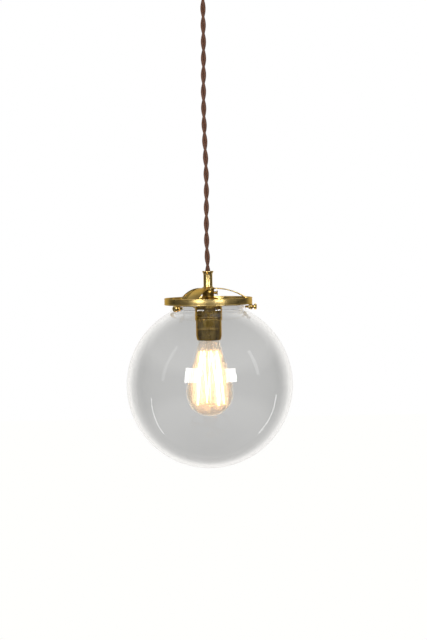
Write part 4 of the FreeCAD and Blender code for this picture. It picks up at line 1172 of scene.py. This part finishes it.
def hook_place(index):
    """Where the wire turns: upper and lower hooks alternate round the cage."""
    radius, level = LOWER_HOOK if index % 2 else UPPER_HOOK
    angle = math.pi * (index + 0.5) / CAGE_LOOPS
    return Vector((radius * math.sin(angle), -radius * math.cos(angle), level))


def make_filament():
    """One wire up and down between the hooks, each run bowed a little outward."""
    count = 2 * CAGE_LOOPS - 1
    turns = [hook_place(index) for index in range(count)]
    run = [turns[0]]
    for index, (before, after) in enumerate(zip(turns, turns[1:])):
        out = Vector((before.x + after.x, before.y + after.y, 0)).normalized()
        bow = (1.7 + 0.5 * math.sin(2.3 * index)) * MM
        for share in (0.06, 0.35, 0.65, 0.94):
            run.append(before.lerp(after, share) + out * bow * math.sin(math.pi * share))
        run.append(after)
    wire = wires("cage_filament", [run], 0.5 * MM)
    dress(wire, GLOW, "bulb", "tungsten", "filament")
    spokes = []
    for index in range(1, count - 1):
        end = turns[index]
        out = Vector((end.x, end.y, 0)).normalized()
        back = -0.55 * MM if index % 2 == 0 else 0.55 * MM
        start = Vector((0, 0, end.z + back)) + out * 1.1 * MM
        spokes.append([start, start.lerp(end, 0.6), end - out * 1.4 * MM,
                       end - out * 0.62 * MM])
    supports = wires("cage_hooks", spokes, 0.22 * MM)
    dress(supports, WIRE, "bulb", "support_wire", "filament_supports")
    leads = []
    pinch = high("bulb_lead_wires").z
    for end in (turns[0], turns[-1]):
        side = 1 if end.x > 0 else -1
        foot = Vector((2.6 * MM * side, 0, pinch))
        leads.append([foot, foot.lerp(end, 0.4) + Vector((0, 0, -1.2 * MM)),
                      foot.lerp(end, 0.88)])
    dress(wires("cage_lead_wires", leads, 0.25 * MM), WIRE, "bulb", "support_wire",
          "bulb_lead_wires")


def make_bulb():
    make_bulb_cap()
    make_bulb_glass()
    make_bulb_stem()
    make_filament()
    finish_nodes(VITRITE, "bulb_insulator")
    finish_nodes(SOLDER, "bulb_contact")


# ---------------------------------------------------------------- globe


def make_globe():
    """Blown globe: a hollow curve leads from the shoulder into the neck, and the lip above it
    is fire-polished."""
    r = high("glass_globe").x
    centre = low("glass_globe").z + r
    lip_top = high("glass_globe").z
    neck, lip, hollow = 44.7 * MM, 47.5 * MM, 5.0 * MM
    reach = neck + hollow
    rise = math.sqrt((r + hollow) ** 2 - reach ** 2)
    slope = math.degrees(math.atan2(rise, reach))
    rings = [
        *arc(reach, centre + rise, hollow, 180 + slope, 180, 12),
        (neck, lip_top - 5.2 * MM),
        (neck + 0.4 * MM, lip_top - 4.4 * MM),
        (lip - 0.9 * MM, lip_top - 3.5 * MM),
        (lip - 0.15 * MM, lip_top - 2.7 * MM),
        (lip, lip_top - 1.7 * MM),
        (lip - 0.25 * MM, lip_top - 0.8 * MM),
        (lip - 0.9 * MM, lip_top - 0.2 * MM),
    ]
    globe = blown("blown_globe", r, centre, rings, 2.5 * MM, 160, 110)
    soften(globe, 0.5 * MM, 2, angle=50)
    dress(globe, GLOBE_GLASS, "lamp", "clear_glass", "glass_globe")


# ---------------------------------------------------------------- studio

PAINTED_SHADE_THROUGH_GLASS = 0.58  # painted shade: the white room and floor are painted this grey where seen through the glass
GLOBE_MIDDLE = Vector((0, 0, low("glass_globe").z + high("glass_globe").x))


def met(tree, name):
    """1 where a ray is of this kind, or has met a surface of this kind, and 0 elsewhere."""
    compare = tree.nodes.new("ShaderNodeMath")
    compare.operation = "GREATER_THAN"
    tree.links.new(tree.nodes.new("ShaderNodeLightPath").outputs[name], compare.inputs[0])
    return compare.outputs[0]


def blend_by(tree, share, first, second):
    mix = tree.nodes.new("ShaderNodeMixShader")
    tree.links.new(share, mix.inputs[0])
    tree.links.new(first, mix.inputs[1])
    tree.links.new(second, mix.inputs[2])
    return mix.outputs[0]


def mirrored_room(tree, direction):
    """What metal and glass reflect: bright behind and above, dark in front and at the sides."""

    def ramp(source, *stops):
        node = tree.nodes.new("ShaderNodeValToRGB")
        tree.links.new(source, node.inputs["Fac"])
        elements = node.color_ramp.elements
        while len(elements) < len(stops):
            elements.new(0.5)
        for element, (position, value) in zip(elements, stops):
            element.position = position
            element.color = (value, value * 0.985, value * 0.96, 1)
        return node.outputs["Color"]

    def level(socket):
        """From -1..1 to 0..1."""
        node = tree.nodes.new("ShaderNodeMapRange")
        tree.links.new(socket, node.inputs["Value"])
        node.inputs["From Min"].default_value = -1
        return node.outputs["Result"]

    split = tree.nodes.new("ShaderNodeSeparateXYZ")
    tree.links.new(direction, split.inputs[0])
    depth = ramp(level(split.outputs["Y"]), (0.0, 0.16), (0.18, 0.13), (0.42, 0.07),
                 (0.74, 0.07), (0.88, 1.0))
    height = ramp(level(split.outputs["Z"]), (0.60, 0.0), (0.74, 0.70), (0.88, 0.55),
                  (0.97, 0.20))
    lighter = tree.nodes.new("ShaderNodeMix")
    lighter.data_type = "RGBA"
    lighter.blend_type = "LIGHTEN"
    lighter.inputs["Factor"].default_value = 1.0
    tree.links.new(depth, lighter.inputs["A"])
    tree.links.new(height, lighter.inputs["B"])
    return lighter.outputs["Result"]


def light_the_room():
    """White room, darker in front and at the sides for the metal to reflect; seen through the
    glass it is painted grey, a painted shade.
    """
    world = bpy.data.worlds.new("studio")
    bpy.context.scene.world = world
    world.use_nodes = True
    tree = world.node_tree
    tree.nodes.clear()

    def shade(colour, strength=1.0):
        node = tree.nodes.new("ShaderNodeBackground")
        node.inputs["Strength"].default_value = strength
        if isinstance(colour, bpy.types.NodeSocket):
            tree.links.new(colour, node.inputs["Color"])
        else:
            node.inputs["Color"].default_value = (*colour, 1)
        return node.outputs[0]

    direction = tree.nodes.new("ShaderNodeTexCoord").outputs["Generated"]
    reflected = shade(mirrored_room(tree, direction))
    around = shade((1.0, 0.99, 0.97), 0.9)
    seen = shade((1, 1, 1), 1.0)
    # Painted shade: rays that come through the glass see the room grey instead of white.
    through = shade((PAINTED_SHADE_THROUGH_GLASS, PAINTED_SHADE_THROUGH_GLASS, PAINTED_SHADE_THROUGH_GLASS * 0.985), 1.0)
    room = blend_by(tree, met(tree, "Diffuse Depth"), through, around)
    room = blend_by(tree, met(tree, "Glossy Depth"), room, reflected)
    room = blend_by(tree, met(tree, "Is Camera Ray"), room, seen)
    output = tree.nodes.new("ShaderNodeOutputWorld")
    tree.links.new(room, output.inputs["Surface"])


def lay_floor():
    """Pale floor far below the lamp, as white as the room where seen directly. Seen through the
    glass it glows grey, a painted shade, and seen in metal or glass it glows the room's light and
    dark as seen from the globe.
    """
    put_down()
    bpy.ops.mesh.primitive_plane_add(size=30, location=(0, 0, -2.2))
    floor = bpy.context.object
    floor.name = "studio_floor"
    settle(floor)
    material = bpy.data.materials.new("pale floor")
    material.use_nodes = True
    tree = material.node_tree
    tree.nodes.clear()

    def glow(colour):
        node = tree.nodes.new("ShaderNodeEmission")
        if isinstance(colour, bpy.types.NodeSocket):
            tree.links.new(colour, node.inputs["Color"])
        else:
            node.inputs["Color"].default_value = (colour, colour, colour * 0.985, 1)
        return node.outputs[0]

    def vector_step(operation, first, second=None):
        node = tree.nodes.new("ShaderNodeVectorMath")
        node.operation = operation
        tree.links.new(first, node.inputs[0])
        if second is not None:
            node.inputs[1].default_value = second
        return node.outputs[0]

    place = tree.nodes.new("ShaderNodeTexCoord").outputs["Object"]
    away = vector_step("NORMALIZE", vector_step("SUBTRACT", place, GLOBE_MIDDLE))

    paint = tree.nodes.new("ShaderNodeBsdfDiffuse")
    paint.inputs["Color"].default_value = (0.85, 0.85, 0.84, 1)
    # Painted shade: seen through the glass the floor glows grey; met after a diffuse bounce it is
    # plain diffuse paint.
    surface = blend_by(tree, met(tree, "Diffuse Depth"), glow(PAINTED_SHADE_THROUGH_GLASS), paint.outputs[0])
    surface = blend_by(tree, met(tree, "Glossy Depth"), surface,
                       glow(mirrored_room(tree, away)))
    surface = blend_by(tree, met(tree, "Is Camera Ray"), surface, glow(1.0))
    output = tree.nodes.new("ShaderNodeOutputMaterial")
    tree.links.new(surface, output.inputs["Surface"])
    floor.data.materials.append(material)


LIGHT_DISTANCE = 1.6


def panel(name, width, height, watts, direction):
    """A flat light that faces the globe and isn't itself seen, directly or through glass."""
    lamp = bpy.data.lights.new(name, "AREA")
    lamp.shape = "RECTANGLE"
    lamp.size = width
    lamp.size_y = height
    lamp.energy = watts
    box = put_in_scene(name, lamp)
    box.visible_camera = False
    box.visible_transmission = False
    place = GLOBE_MIDDLE + direction * LIGHT_DISTANCE
    return lamp, box, place


def softbox(name, azimuth, elevation, width, height, watts):
    """A rectangular light; azimuth is a bearing from the front."""
    direction = toward(azimuth) * math.cos(math.radians(elevation))
    direction.z = math.sin(math.radians(elevation))
    lamp, box, box.location = panel(name, width, height, watts, direction)
    lamp.color = (1.0, 0.98, 0.95)
    box.rotation_euler = direction.to_track_quat("Z", "Y").to_euler()


def strip(name, start, end, width, watts):
    """A narrow light between two directions from the globe, which draws a soft arc on it."""
    first, last = Vector(start).normalized(), Vector(end).normalized()
    middle = (first + last).normalized()
    box, place = panel(name, width, (last - first).length * LIGHT_DISTANCE, watts, middle)[1:]
    along = (last - first).normalized()
    across = along.cross(middle).normalized()
    box.matrix_world = Matrix((across, along, across.cross(along))).transposed().to_4x4()
    box.location = place


def light_the_lamp():
    softbox("left_softbox", -24, 16.8, 0.52, 0.54, 13.5)
    softbox("right_softbox", 29.5, 16.0, 0.40, 0.50, 10)
    strip("left_low_strip", (-0.98, -0.07, -0.18), (-0.67, 0.16, -0.73), 0.06, 1.0)
    strip("right_low_strip", (0.95, 0.20, -0.16), (0.66, 0.22, -0.72), 0.06, 1.0)
    strip("left_high_strip", (-0.58, -0.28, 0.77), (-0.90, -0.40, 0.10), 0.14, 0.8)
    strip("right_high_strip", (0.72, -0.24, 0.65), (0.93, -0.33, 0.20), 0.14, 0.8)
    warm = bpy.data.lights.new("bulb_light", "POINT")
    warm.energy = 0.7
    warm.color = (1.0, 0.62, 0.30)
    warm.shadow_soft_size = 10 * MM
    holder = put_in_scene("bulb_light", warm)
    holder.location = (0, 0, BULB_FOOT - 30 * MM)
    holder.visible_camera = False
    holder.visible_transmission = False
    holder.visible_glossy = False


def set_camera():
    """Eye level with the lamp, a little above the gallery, looking slightly down at the globe."""
    distance, half_view, sensor = 2.0, 0.384, 36
    side_step, lean = 7.6 * MM, math.radians(1.02)
    lens = bpy.data.cameras.new("camera")
    lens.sensor_fit = "VERTICAL"
    lens.sensor_height = sensor
    lens.lens = sensor / 2 * distance / half_view
    lens.clip_end = 100
    camera = put_in_scene("camera", lens)
    camera.location = (side_step, -distance, -0.350)
    target = Vector((side_step, 0, -0.450))
    turn = (target - camera.location).to_track_quat("-Z", "Y")
    camera.rotation_mode = "QUATERNION"
    roll = UP.rotation_difference(Vector((math.sin(lean), 0, math.cos(lean))))
    camera.rotation_quaternion = roll @ turn
    bpy.context.scene.camera = camera


set_camera()
light_the_room()
lay_floor()
light_the_lamp()
make_ceiling_end()
make_flex()
make_gallery()
make_lampholder()
make_bulb()
make_globe()
put_down()
bpy.context.scene.view_settings.view_transform = "Standard"
